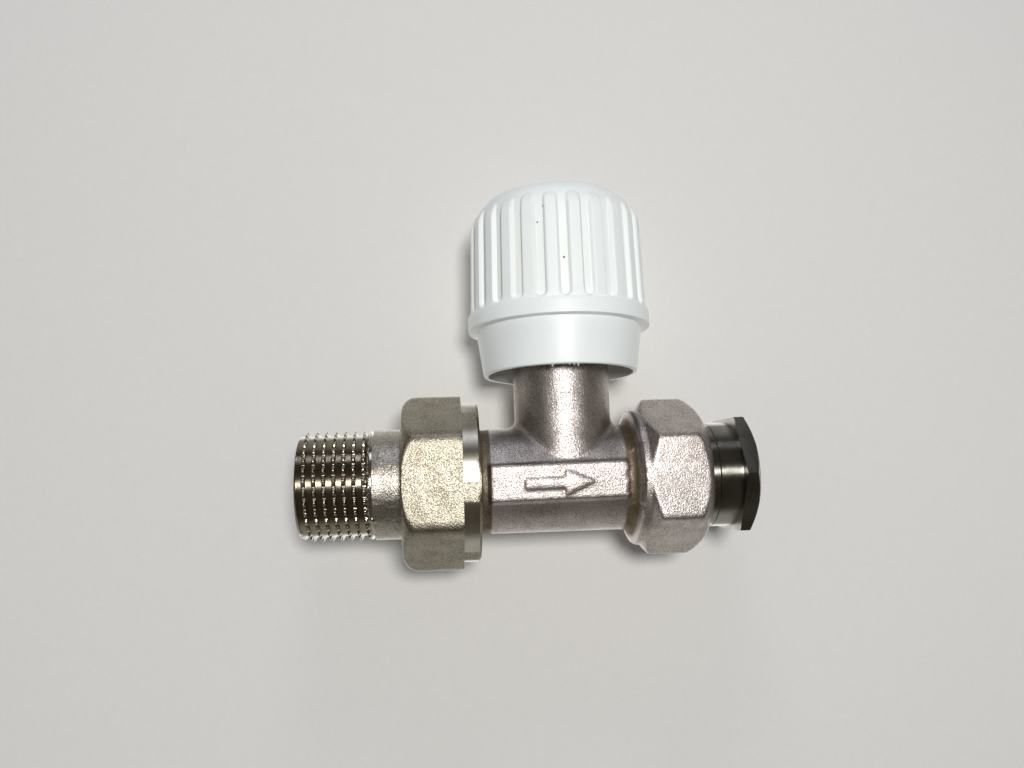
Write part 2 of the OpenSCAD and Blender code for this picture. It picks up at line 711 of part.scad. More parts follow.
module handwheel_outside() {
    rim_round = 0.35;
    turned(concat(
        [[wheel_rim_z, skirt_rim_d / 2 - rim_round], [wheel_rim_z + rim_round, skirt_rim_d / 2],
         [wheel_collar_z - 0.5, skirt_top_d / 2], [wheel_collar_z, skirt_top_d / 2 + 0.3],
         [wheel_collar_z, wheel_collar_d / 2 - 0.15], [wheel_collar_z + 0.25, wheel_collar_d / 2],
         [crown_z - 0.25, wheel_collar_d / 2], [crown_z, wheel_collar_d / 2 - 0.25]],
        [for (p = crown_outline(0, crown_round, 0)) if (p[0] > crown_z) p]));
    crown_ribs();
    groove_feet();
}

module handwheel_inside() {
    cavity_r = wheel_top_d / 2 - groove_depth - crown_wall;
    rim_r = skirt_rim_d / 2 - skirt_wall;
    ceiling = crown_top_z - crown_wall - 0.4;
    curve = crown_round - crown_wall;
    turned(concat(
        [[wheel_rim_z - past, rim_r], [wheel_rim_z, rim_r], [wheel_collar_z, skirt_top_d / 2 - skirt_wall - 0.4],
         [wheel_collar_z + 1.2, cavity_r]],
        [for (p = back(arc([cavity_r - curve, ceiling - curve], curve, 90, 0))) [p[1], p[0]]]));
}

// Hub with the square socket, the screw's seat and four webs out to the crown
module handwheel_hub() {
    foot = spindle_top_z() - drive_len - 0.6;
    reach = wheel_top_d / 2 - groove_depth - crown_wall / 2;
    web_t = 1.2;
    web_z = foot + 3;
    difference() {
        union() {
            translate([0, 0, foot]) cylinder(d = hub_d, h = crown_top_z - crown_wall - foot, $fn = round_fn);
            for (a = [45:90:315]) rotate([0, 0, a])
                translate([0, -web_t / 2, web_z]) cube([reach, web_t, shoulder_z - web_z + 1]);
        }
        translate([0, 0, foot - past]) cylinder(d = spindle_d + free_gap, h = past + 0.6, $fn = small_fn);
        translate([-drive_af / 2 - thread_gap, -drive_af / 2 - thread_gap, foot - past])
            cube([drive_af + 2 * thread_gap, drive_af + 2 * thread_gap, hub_plate_z - foot + past]);
        translate([0, 0, foot]) cylinder(d = screw_d() + 0.4, h = crown_top_z, $fn = small_fn);
    }
}

module handwheel() {
    seat_d_top = cap_d + 2 * thread_gap;
    color(white_abs) translate([stem_x, 0, 0]) difference() {
        union() {
            difference() {
                handwheel_outside();
                handwheel_inside();
            }
            handwheel_hub();
        }
        translate([0, 0, hub_plate_z + hub_plate_t]) cylinder(d = cap_d - 1, h = crown_top_z, $fn = small_fn);
        translate([0, 0, crown_top_z - cap_t() - face_gap]) cylinder(d = seat_d_top, h = crown_top_z, $fn = small_fn);
        translate([0, 0, hub_plate_z - past]) cylinder(d = screw_d() + 0.4, h = crown_top_z, $fn = small_fn);
    }
}

function cap_t() = 1.5;

module handwheel_screw() {
    shank = 8.6;
    slot_w = 0.8;
    head_d = 6.2;
    color(steel) translate([stem_x, 0, 0]) difference() {
        union() {
            translate([0, 0, screw_head_z - shank]) cylinder(d = screw_d(), h = shank + bite, $fn = small_fn);
            turned([[screw_head_z, head_d / 2], [screw_head_z + screw_head_h - 0.7, head_d / 2],
                    [screw_head_z + screw_head_h, head_d / 2 - 0.9]]);
        }
        for (a = [0, 90]) rotate([0, 0, a])
            translate([-head_d / 4, -slot_w / 2, screw_head_z + screw_head_h - 1.3]) cube([head_d / 2, slot_w, 2]);
    }
}

// Plain cap, slightly domed, that snaps into the crown
module handwheel_cap() {
    low = crown_top_z - cap_t();
    color(white_abs) translate([stem_x, 0, 0]) difference() {
        union() {
            turned([[low, cap_d / 2], [crown_top_z - 0.3, cap_d / 2], [crown_top_z - 0.1, cap_d / 2 - 0.25],
                    [crown_top_z, 0.01]]);
            translate([0, 0, low - 1.6]) ring(cap_d - 1 - 2 * thread_gap, cap_d - 3, 1.6 + bite);
        }
        translate([-cap_d, -0.6, low - 1.6 - past]) cube([2 * cap_d, 1.2, 1.6 + past]);
    }
}

body();
tailpiece();
tail_o_ring();
union_nut();
gland_screw();
olive();
bonnet();
bonnet_gasket();
packing_washer();
packing_ring();
packing_nut();
spindle();
spindle_o_ring();
disc_holder();
swivel_clip();
disc_seal();
disc_nut();
handwheel();
handwheel_screw();
handwheel_cap();
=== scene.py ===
"""Radiator valve: forged body plated with nickel, union nut and tail, compression screw, and a
white ribbed handwheel.

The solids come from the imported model. This script gives every piece its finish. It also rebuilds
the five pieces whose fine shape shows, inside the same box: threads and gripping notches, eased
forged edges, moulded pads. Lengths are in millimetres, and MM turns them to metres.
"""

import math

import bmesh
import bpy
import numpy as np
from mathutils import Matrix, Vector


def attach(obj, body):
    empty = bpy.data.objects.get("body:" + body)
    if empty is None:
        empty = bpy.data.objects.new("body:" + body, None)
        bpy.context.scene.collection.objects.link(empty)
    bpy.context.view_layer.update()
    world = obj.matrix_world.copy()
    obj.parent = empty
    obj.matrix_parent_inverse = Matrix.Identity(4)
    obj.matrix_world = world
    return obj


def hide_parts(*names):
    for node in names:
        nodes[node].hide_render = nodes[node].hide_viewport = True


MM = 0.001
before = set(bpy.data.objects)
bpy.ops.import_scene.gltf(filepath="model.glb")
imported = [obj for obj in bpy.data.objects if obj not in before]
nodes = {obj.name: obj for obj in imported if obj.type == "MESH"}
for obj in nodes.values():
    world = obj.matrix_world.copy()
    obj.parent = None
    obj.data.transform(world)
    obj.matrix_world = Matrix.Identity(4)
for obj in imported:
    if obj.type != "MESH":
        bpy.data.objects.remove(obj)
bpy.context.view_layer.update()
scene = bpy.context.scene

# Places along the pipe line and on the stem, as in the part's source
TAIL_END = -1.1
THREAD_STOP = 13.0
PITCH = 1.814
NUT_START, NUT_STOP = 18.3, 33.0
STEM_X = 50.1
SCREW_START, SCREW_STOP = 71.9, 86.1
WHEEL_FOOT, WHEEL_TOP = 20.8, 58.05

# The camera that fits the photograph: place in millimetres, then its three directions
CAMERA_AT = (26.825, -164.625, -3.031)
CAMERA_RIGHT = (0.99650, -0.07676, -0.03324)
CAMERA_AHEAD = (0.08054, 0.98776, 0.13355)
LENS, SENSOR = 29.197, 36.0


def linear(hex_colour):
    """An sRGB hex colour as linear RGBA."""
    parts = [int(hex_colour[i:i + 2], 16) / 255 for i in (1, 3, 5)]
    curve = [c / 12.92 if c <= 0.04045 else ((c + 0.055) / 1.055) ** 2.4 for c in parts]
    return (*curve, 1.0)


def add(tree, kind, inputs=None, out=0, **settings):
    """Adds a node. Each input gets a value or a link from another node's output, and settings are
    the node's own. Gives back the output asked for, or all of them where out is None."""
    node = tree.nodes.new("ShaderNode" + kind)
    for name, value in settings.items():
        setattr(node, name, value)
    for name, value in (inputs or {}).items():
        if isinstance(value, bpy.types.NodeSocket):
            tree.links.new(value, node.inputs[name])
        else:
            node.inputs[name].default_value = value
    if out is None or not len(node.outputs):
        return node.outputs
    return node.outputs[out]


def blank_material(name):
    """A material without nodes, and its node tree."""
    material = bpy.data.materials.new(name)
    material.use_nodes = True
    material.node_tree.nodes.clear()
    return material, material.node_tree


# Finishes: sizes of the patterns in millimetres, and how high each stands

DIMPLE, DIMPLE_CELL, DIMPLE_RISE = 0.24, 0.30, 0.062
WAVE, WAVE_RISE = 4.0, 0.12


def forged_nickel(name, peaks, hollows, satin, thin_plate_and_shade=None, thin_and_shaded_places=()):
    """Brass, forged hot in a die, shot blasted and nickel plated: a satin skin of fine dimples that
    sparkle, its hollows painted darker as shade, with tone that also varies at random. Where the
    plating is thin it is golden and duller, and its dark colour there is partly painted shade, for
    the fillets and corners where these places lie. Real dimples are 0.1 to 0.3 mm wide: these are
    0.24 to 0.3 mm, to show. Each thin place is a stretch of the pipe line: where it starts, is
    full, is full no more and stops, the height above which it holds, and how much of it shows."""
    material, tree = blank_material(name)
    spot = add(tree, "TexCoord", out="Object")
    grain = add(tree, "TexNoise", {
        "Vector": spot, "Scale": 1 / (DIMPLE * MM), "Detail": 2.0, "Roughness": 0.6})
    cells = add(tree, "TexVoronoi", {
        "Vector": spot, "Scale": 1 / (DIMPLE_CELL * MM), "Smoothness": 0.6},
        "Distance", feature="SMOOTH_F1")
    waves = add(tree, "TexNoise", {"Vector": spot, "Scale": 1 / (WAVE * MM), "Detail": 2.0})
    # The colour follows the grain and waves that also raise the bumps below. It is darker where
    # they are low: painted shade in the hollows, together with random tone
    shade = add(tree, "Math", {0: waves, 1: 0.35, 2: grain}, operation="MULTIPLY_ADD")
    shade = add(tree, "MapRange", {"Value": shade, "From Min": 0.42, "From Max": 0.86},
                interpolation_type="SMOOTHSTEP")
    colour = add(tree, "Mix", {0: shade, 6: linear(hollows), 7: linear(peaks)}, 2, data_type="RGBA")
    dull = add(tree, "MapRange", {
        "Value": grain, "From Min": 0.3, "From Max": 0.7,
        "To Min": satin + 0.08, "To Max": satin - 0.08})
    place = add(tree, "SeparateXYZ", {0: spot}, None)
    # Golden thin plating, its dark colour partly painted shade in the fillets and corners these
    # places cover
    for start, full, still, stop, above, share in thin_and_shaded_places:
        rise = add(tree, "MapRange", {
            "Value": place["X"], "From Min": start * MM, "From Max": full * MM},
            interpolation_type="SMOOTHSTEP")
        fall = add(tree, "MapRange", {
            "Value": place["X"], "From Min": stop * MM, "From Max": still * MM},
            interpolation_type="SMOOTHSTEP")
        high = add(tree, "MapRange", {
            "Value": place["Z"], "From Min": above * MM, "From Max": (above + 2.0) * MM},
            interpolation_type="SMOOTHSTEP")
        patchy = add(tree, "MapRange", {
            "Value": waves, "From Min": 0.25, "From Max": 0.7,
            "To Min": 0.55 * share, "To Max": share})
        here = add(tree, "Math", {0: rise, 1: fall}, operation="MULTIPLY")
        here = add(tree, "Math", {0: here, 1: high}, operation="MULTIPLY")
        here = add(tree, "Math", {0: here, 1: patchy}, operation="MULTIPLY")
        colour = add(tree, "Mix", {0: here, 6: colour, 7: linear(thin_plate_and_shade)}, 2, data_type="RGBA")
        dull = add(tree, "Math", {0: here, 1: 0.22, 2: dull}, operation="MULTIPLY_ADD")
    pits = add(tree, "Math", {0: cells, 1: 0.5, 2: grain}, operation="MULTIPLY_ADD")
    swell = add(tree, "Bump", {"Height": waves, "Distance": WAVE_RISE * MM, "Strength": 1.0})
    skin = add(tree, "Bump", {
        "Height": pits, "Distance": DIMPLE_RISE * MM, "Strength": 1.0, "Normal": swell})
    shader = add(tree, "BsdfPrincipled", {
        "Base Color": colour, "Metallic": 1.0, "Roughness": dull, "Normal": skin})
    add(tree, "OutputMaterial", {"Surface": shader})
    return material


TOOL_LINE, TOOL_LINE_RISE = 0.12, 0.006
CLOUD, RUB = 6.0, 0.7
QUARTER_TURN = 0.25


def turned_nickel(name, bright, cloudy, polish, streak, root_shade_and_tarnish=None):
    """Brass turned on a lathe and nickel plated: bright, with fine lines round the pipe line that
    draw the light out along it into a streak, cloudy in patches about 6 mm across and rubbed in
    smaller ones of 0.7 mm. Real tool lines lie about 0.05 mm apart: these are 0.12 mm, to show.
    Where a root shade is given, a colour and two radii, the colour darkens from the upper radius
    down to the lower: painted shade in the thread's roots, with some tarnish there."""
    material, tree = blank_material(name)
    spot = add(tree, "TexCoord", out="Object")
    place = add(tree, "SeparateXYZ", {0: spot}, None)
    along = add(tree, "Math", {0: place["X"], 1: 1 / (TOOL_LINE * MM)}, operation="MULTIPLY")
    lines = add(tree, "TexNoise", {"W": along, "Scale": 1.0, "Detail": 1.0}, noise_dimensions="1D")
    cloud = add(tree, "TexNoise", {"Vector": spot, "Scale": 1 / (CLOUD * MM), "Detail": 2.0})
    rub = add(tree, "TexNoise", {"Vector": spot, "Scale": 1 / (RUB * MM), "Detail": 3.0})
    shade = add(tree, "MapRange", {"Value": cloud, "From Min": 0.25, "From Max": 0.75},
                interpolation_type="SMOOTHSTEP")
    colour = add(tree, "Mix", {0: shade, 6: linear(cloudy), 7: linear(bright)}, 2, data_type="RGBA")
    # Painted shade in the thread's roots, with some tarnish: darker with depth
    if root_shade_and_tarnish:
        dark, low, high = root_shade_and_tarnish
        level = add(tree, "CombineXYZ", {"Y": place["Y"], "Z": place["Z"]})
        radius = add(tree, "VectorMath", {0: level}, "Value", operation="LENGTH")
        depth = add(tree, "MapRange", {
            "Value": radius, "From Min": high * MM, "From Max": low * MM},
            interpolation_type="SMOOTHSTEP")
        colour = add(tree, "Mix", {0: depth, 6: colour, 7: linear(dark)}, 2, data_type="RGBA")
    dull = add(tree, "MapRange", {
        "Value": rub, "From Min": 0.3, "From Max": 0.7, "To Min": polish, "To Max": polish + 0.05})
    skin = add(tree, "Bump", {"Height": lines, "Distance": TOOL_LINE_RISE * MM, "Strength": 1.0})
    round_axis = add(tree, "Tangent", direction_type="RADIAL", axis="X")
    shader = add(tree, "BsdfPrincipled", {
        "Base Color": colour, "Metallic": 1.0, "Roughness": dull, "Normal": skin,
        "Anisotropic": streak, "Anisotropic Rotation": QUARTER_TURN, "Tangent": round_axis})
    add(tree, "OutputMaterial", {"Surface": shader})
    return material


# Grease lies from this radius inwards and between these heights, each with the span over which it
# comes in, and the skirt's gloss ends at the collar
GREASE_R, GREASE_LOW_Z, GREASE_HIGH_Z = (17.35, 16.9), (32.9, 33.4), (54.5, 52.0)
GLOSS_Z = (29.6, 30.0)
SINK_MARK, SINK_MARK_RISE = 6.0, 0.15
MOULD_GRAIN, MOULD_GRAIN_RISE = 0.35, 0.003
# Dark specks in the wheel's moulding, where the photograph shows them, and the radii they fade over
SPECKS = ((45.86, -16.20, 50.48), (44.66, -15.84, 47.51), (49.33, -16.73, 40.46))
SPECK_R = (0.26, 0.15)


def moulded_abs():
    """ABS, injection moulded in white: satin on the ribbed crown and glossier on the skirt, a
    little yellowed in the grooves where hands leave their grease, with three specks of scorched
    plastic. Its faint sink marks are about 6 mm across and its grain 0.35 mm."""
    material, tree = blank_material("white_abs_moulded")
    spot = add(tree, "TexCoord", out="Object")
    place = add(tree, "SeparateXYZ", {0: spot}, None)
    across = add(tree, "Math", {0: place["X"], 1: STEM_X * MM}, operation="SUBTRACT")
    level = add(tree, "CombineXYZ", {"X": across, "Y": place["Y"]})
    radius = add(tree, "VectorMath", {0: level}, "Value", operation="LENGTH")
    deep = add(tree, "MapRange", {
        "Value": radius, "From Min": GREASE_R[0] * MM, "From Max": GREASE_R[1] * MM},
        interpolation_type="SMOOTHSTEP")
    above = add(tree, "MapRange", {
        "Value": place["Z"], "From Min": GREASE_LOW_Z[0] * MM, "From Max": GREASE_LOW_Z[1] * MM})
    below = add(tree, "MapRange", {
        "Value": place["Z"], "From Min": GREASE_HIGH_Z[0] * MM, "From Max": GREASE_HIGH_Z[1] * MM})
    groove = add(tree, "Math", {0: above, 1: below}, operation="MULTIPLY")
    groove = add(tree, "Math", {0: groove, 1: deep}, operation="MULTIPLY")
    cloud = add(tree, "TexNoise", {"Vector": spot, "Scale": 1 / (SINK_MARK * MM), "Detail": 3.0})
    grain = add(tree, "TexNoise", {"Vector": spot, "Scale": 1 / (MOULD_GRAIN * MM), "Detail": 2.0})
    grease = add(tree, "MapRange", {
        "Value": cloud, "From Min": 0.35, "From Max": 0.7, "To Min": 0.05, "To Max": 0.25})
    grease = add(tree, "Math", {0: groove, 1: grease}, operation="MULTIPLY")
    colour = add(tree, "Mix", {0: cloud, 6: linear("#e4e8e5"), 7: linear("#eaeeeb")}, 2,
                 data_type="RGBA")
    colour = add(tree, "Mix", {0: grease, 6: colour, 7: linear("#e2ddca")}, 2, data_type="RGBA")
    for at in SPECKS:
        away = add(tree, "VectorMath", {0: spot, 1: tuple(c * MM for c in at)}, "Value",
                   operation="DISTANCE")
        scorch = add(tree, "MapRange", {
            "Value": away, "From Min": SPECK_R[0] * MM, "From Max": SPECK_R[1] * MM},
            interpolation_type="SMOOTHSTEP")
        colour = add(tree, "Mix", {0: scorch, 6: colour, 7: linear("#4a3f36")}, 2,
                     data_type="RGBA")
    satin = add(tree, "MapRange", {
        "Value": place["Z"], "From Min": GLOSS_Z[0] * MM, "From Max": GLOSS_Z[1] * MM,
        "To Min": 0.40, "To Max": 0.44})
    satin = add(tree, "Math", {0: grain, 1: 0.05, 2: satin}, operation="MULTIPLY_ADD")
    sink = add(tree, "Bump", {"Height": cloud, "Distance": SINK_MARK_RISE * MM, "Strength": 1.0})
    skin = add(tree, "Bump", {
        "Height": grain, "Distance": MOULD_GRAIN_RISE * MM, "Strength": 1.0, "Normal": sink})
    shader = add(tree, "BsdfPrincipled", {
        "Base Color": colour, "Roughness": satin, "IOR": 1.53, "Normal": skin})
    add(tree, "OutputMaterial", {"Surface": shader})
    return material


STAIN, BRASS_LINE_RISE = 2.0, 0.005


def turned_brass():
    """Brass, turned and left bare: yellow and fairly bright, with lines round the stem and stains
    about 2 mm across. Real tool lines lie about 0.05 mm apart: these are 0.12 mm, to show."""
    material, tree = blank_material("brass_turned")
    spot = add(tree, "TexCoord", out="Object")
    upward = add(tree, "SeparateXYZ", {0: spot}, "Z")
    upward = add(tree, "Math", {0: upward, 1: 1 / (TOOL_LINE * MM)}, operation="MULTIPLY")
    lines = add(tree, "TexNoise", {"W": upward, "Scale": 1.0, "Detail": 1.0}, noise_dimensions="1D")
    stain = add(tree, "TexNoise", {"Vector": spot, "Scale": 1 / (STAIN * MM), "Detail": 3.0})
    colour = add(tree, "Mix", {0: stain, 6: linear("#a98544"), 7: linear("#c7a565")}, 2,
                 data_type="RGBA")
    dull = add(tree, "MapRange", {
        "Value": stain, "From Min": 0.3, "From Max": 0.7, "To Min": 0.22, "To Max": 0.36})
    skin = add(tree, "Bump", {"Height": lines, "Distance": BRASS_LINE_RISE * MM, "Strength": 1.0})
    shader = add(tree, "BsdfPrincipled", {
        "Base Color": colour, "Metallic": 1.0, "Roughness": dull, "Normal": skin})
    add(tree, "OutputMaterial", {"Surface": shader})
    return material


RUBBER_GRAIN, RUBBER_GRAIN_RISE = 0.25, 0.01


def moulded_nitrile():
    """Nitrile rubber, moulded: black and dull, with a faint grain about 0.25 mm across."""
    material, tree = blank_material("nitrile_rubber_moulded")
    spot = add(tree, "TexCoord", out="Object")
    grain = add(tree, "TexNoise", {"Vector": spot, "Scale": 1 / (RUBBER_GRAIN * MM), "Detail": 2.0})
    colour = add(tree, "Mix", {0: grain, 6: linear("#1b1b1b"), 7: linear("#2d2c2b")}, 2,
                 data_type="RGBA")
    dull = add(tree, "MapRange", {
        "Value": grain, "From Min": 0.3, "From Max": 0.7, "To Min": 0.5, "To Max": 0.7})
    skin = add(tree, "Bump", {"Height": grain, "Distance": RUBBER_GRAIN_RISE * MM, "Strength": 1.0})
    shader = add(tree, "BsdfPrincipled", {
        "Base Color": colour, "Roughness": dull, "IOR": 1.52, "Normal": skin})
    add(tree, "OutputMaterial", {"Surface": shader})
    return material


ZINC_CRYSTAL, ZINC_CRYSTAL_RISE = 0.8, 0.01


def plated_steel():
    """Steel, plated with zinc: grey and satin, with a mottle of zinc crystals about 0.8 mm wide."""
    material, tree = blank_material("steel_zinc_plated")
    spot = add(tree, "TexCoord", out="Object")
    mottle = add(tree, "TexNoise", {
        "Vector": spot, "Scale": 1 / (ZINC_CRYSTAL * MM), "Detail": 3.0})
    colour = add(tree, "Mix", {0: mottle, 6: linear("#8d8f90"), 7: linear("#b4b6b6")}, 2,
                 data_type="RGBA")
    dull = add(tree, "MapRange", {
        "Value": mottle, "From Min": 0.3, "From Max": 0.7, "To Min": 0.28, "To Max": 0.42})
    skin = add(tree, "Bump", {
        "Height": mottle, "Distance": ZINC_CRYSTAL_RISE * MM, "Strength": 1.0})
    shader = add(tree, "BsdfPrincipled", {
        "Base Color": colour, "Metallic": 1.0, "Roughness": dull, "Normal": skin})
    add(tree, "OutputMaterial", {"Surface": shader})
    return material


FELT_FIBRE, FELT_FIBRE_RISE = 0.3, 0.03


def pressed_fibre():
    """Vulcanised fibre, pressed and punched: dull red-brown, with a felt of fibres about 0.3 mm
    wide."""
    material, tree = blank_material("red_fibre_pressed")
    spot = add(tree, "TexCoord", out="Object")
    felt = add(tree, "TexNoise", {
        "Vector": spot, "Scale": 1 / (FELT_FIBRE * MM), "Detail": 4.0, "Roughness": 0.7})
    colour = add(tree, "Mix", {0: felt, 6: linear("#6f3025"), 7: linear("#93503d")}, 2,
                 data_type="RGBA")
    dull = add(tree, "MapRange", {
        "Value": felt, "From Min": 0.3, "From Max": 0.7, "To Min": 0.7, "To Max": 0.9})
    skin = add(tree, "Bump", {"Height": felt, "Distance": FELT_FIBRE_RISE * MM, "Strength": 1.0})
    shader = add(tree, "BsdfPrincipled", {
        "Base Color": colour, "Roughness": dull, "IOR": 1.5, "Normal": skin})
    add(tree, "OutputMaterial", {"Surface": shader})
    return material


# Shapes

def ease(value, low, high):
    """0 below low, 1 above high, and a smooth curve between."""
    t = np.clip((value - low) / (high - low), 0.0, 1.0)
    return t * t * (3 - 2 * t)


def rounded_min(a, b, blend):
    """The smaller of a and b, rounded over blend where they meet."""
    share = np.clip(0.5 + 0.5 * (b - a) / blend, 0.0, 1.0)
    return b + (a - b) * share - blend * share * (1 - share)


def to_flats(angle, across, turn=0.0, sides=6):
    """Distance from the axis to the flats of a nut or square, one of which faces the angle turn."""
    step = 2 * math.pi / sides
    local = (angle - math.radians(turn) + step / 2) % step - step / 2
    return across / 2 / np.cos(local)


def spread(first, last, count):
    """count places from first towards last, without the last."""
    return [first + (last - first) * i / count for i in range(count)]


def arc(centre_place, centre_radius, size, first, last, count):
    """Places and radii along a round edge, from angle first towards last."""
    angles = [math.radians(degrees) for degrees in spread(first, last, count)]
    return [(centre_place + size * math.sin(a), centre_radius + size * math.cos(a)) for a in angles]


def thread_wave(x, degrees):
    """0 on the crests and 1 in the roots of a rounded thread, at an angle that runs downwards from
    the front."""
    return 0.5 - 0.5 * np.cos(2 * math.pi * (x / PITCH - degrees / 360))


def linked(name, mesh):
    """A piece, lamp or camera of this name, in the scene."""
    piece = bpy.data.objects.new(name, mesh)
    scene.collection.objects.link(piece)
    return piece


def turned_skin(name, rows, columns, radius, crisp, upright=False, shift=None):
    """A closed skin round the pipe line, or round the stem where upright. Each row is (kind, place,
    radius) and becomes a ring, and the last row joins the first. radius(kind, place, base, angle)
    gives each point's distance from the axis, and shift the same for how far it moves along it.
    Angles run from the front, -Y: downwards round the pipe line, or towards +X round the stem.
    Edges sharper than crisp degrees stay sharp."""
    kind = np.array([row[0] for row in rows])[:, None]
    place = np.array([row[1] for row in rows], float)[:, None]
    base = np.array([row[2] for row in rows], float)[:, None]
    angle = 2 * math.pi * np.arange(columns)[None, :] / columns
    r = radius(kind, place, base, angle) * np.ones((len(rows), columns))
    moved = place if shift is None else place + shift(kind, place, base, angle)
    along = moved * np.ones_like(r)
    out, aside = -r * np.cos(angle), r * np.sin(angle)
    points = (STEM_X + aside, out, along) if upright else (along, out, -aside)
    points = np.stack(points, -1).reshape(-1, 3) * MM
    row, column = np.meshgrid(np.arange(len(rows)), np.arange(columns), indexing="ij")
    on_row, on_column = (row + 1) % len(rows), (column + 1) % columns
    corners = [row * columns + column, row * columns + on_column, on_row * columns + on_column,
               on_row * columns + column]
    if not upright:
        corners.reverse()
    mesh = bpy.data.meshes.new(name)
    mesh.from_pydata(points, [], np.stack(corners, -1).reshape(-1, 4))
    mesh.polygons.foreach_set("use_smooth", np.ones(len(mesh.polygons), bool))
    mesh.set_sharp_from_angle(angle=math.radians(crisp))
    return linked(name, mesh)


def dress(piece, *coats):
    """Gives a piece its finishes. The first is a material, and each other is (material, where),
    where(x, y, z) telling from the middles of the faces, in millimetres, which faces take it."""
    piece.data.materials.clear()
    piece.data.materials.append(coats[0])
    middles = np.zeros(len(piece.data.polygons) * 3, np.float32)
    piece.data.polygons.foreach_get("center", middles)
    x, y, z = middles.reshape(-1, 3).T / MM
    slots = np.zeros(len(x), np.int32)
    for number, (material, where) in enumerate(coats[1:], 1):
        piece.data.materials.append(material)
        slots[where(x, y, z)] = number
    piece.data.polygons.foreach_set("material_index", slots)


# Radiator tail

TAIL_ROWS, TAIL_COLUMNS, NECK_ROWS = 172, 420, 26
THREAD_R, THREAD_DEPTH = 10.4775, 0.85
# The first crest's place, and how far from a crest its flank starts and ends, in half pitches
CREST_AT = 0.67
CREST_HALF, ROOT_HALF = 0.10, 0.44
# Where the thread fades out and its notches end, and the cone that leads into it
THREAD_FADE, NOTCH_FADE = (11.6, 12.5), (12.0, 12.6)
RELIEF, RELIEF_FADE = 0.35, (12.45, 12.6)
LEAD_IN, LEAD_IN_LENGTH = 0.9, 1.1
# Notches: how many, the first one's angle, depth, and half widths of floor and shoulders in degrees
NOTCHES, FIRST_NOTCH, NOTCH_DEPTH, NOTCH_HALF = 32, 12.8, 0.6, (1.0, 5.2)
NECK_R, COLLAR_R, SPIGOT_R, RING_GROOVE_R, BORE_R = 10.65, 12.3, 9.0, 7.95, 6.49
COLLAR_X, SPIGOT_X, RING_GROOVE_X, SPIGOT_STOP = 21.2, 24.8, (25.5, 27.1), 27.8
COLLAR_EDGE, SPIGOT_EDGE = 0.2, 0.4
NECK_DENT, NECK_PROUD = 0.05, 0.03
KEY_ACROSS, KEY_DEPTH, KEY_CHAMFER = 13.0, 11.0, 0.4
# A burr of metal where the neck meets the thread: place, angle, height, half length, half width
BURR_X, BURR_ANGLE, BURR_RISE, BURR_LENGTH, BURR_WIDTH = 12.9, 39.5, 0.55, 0.4, 2.2
BURR_BARE_R = 10.72


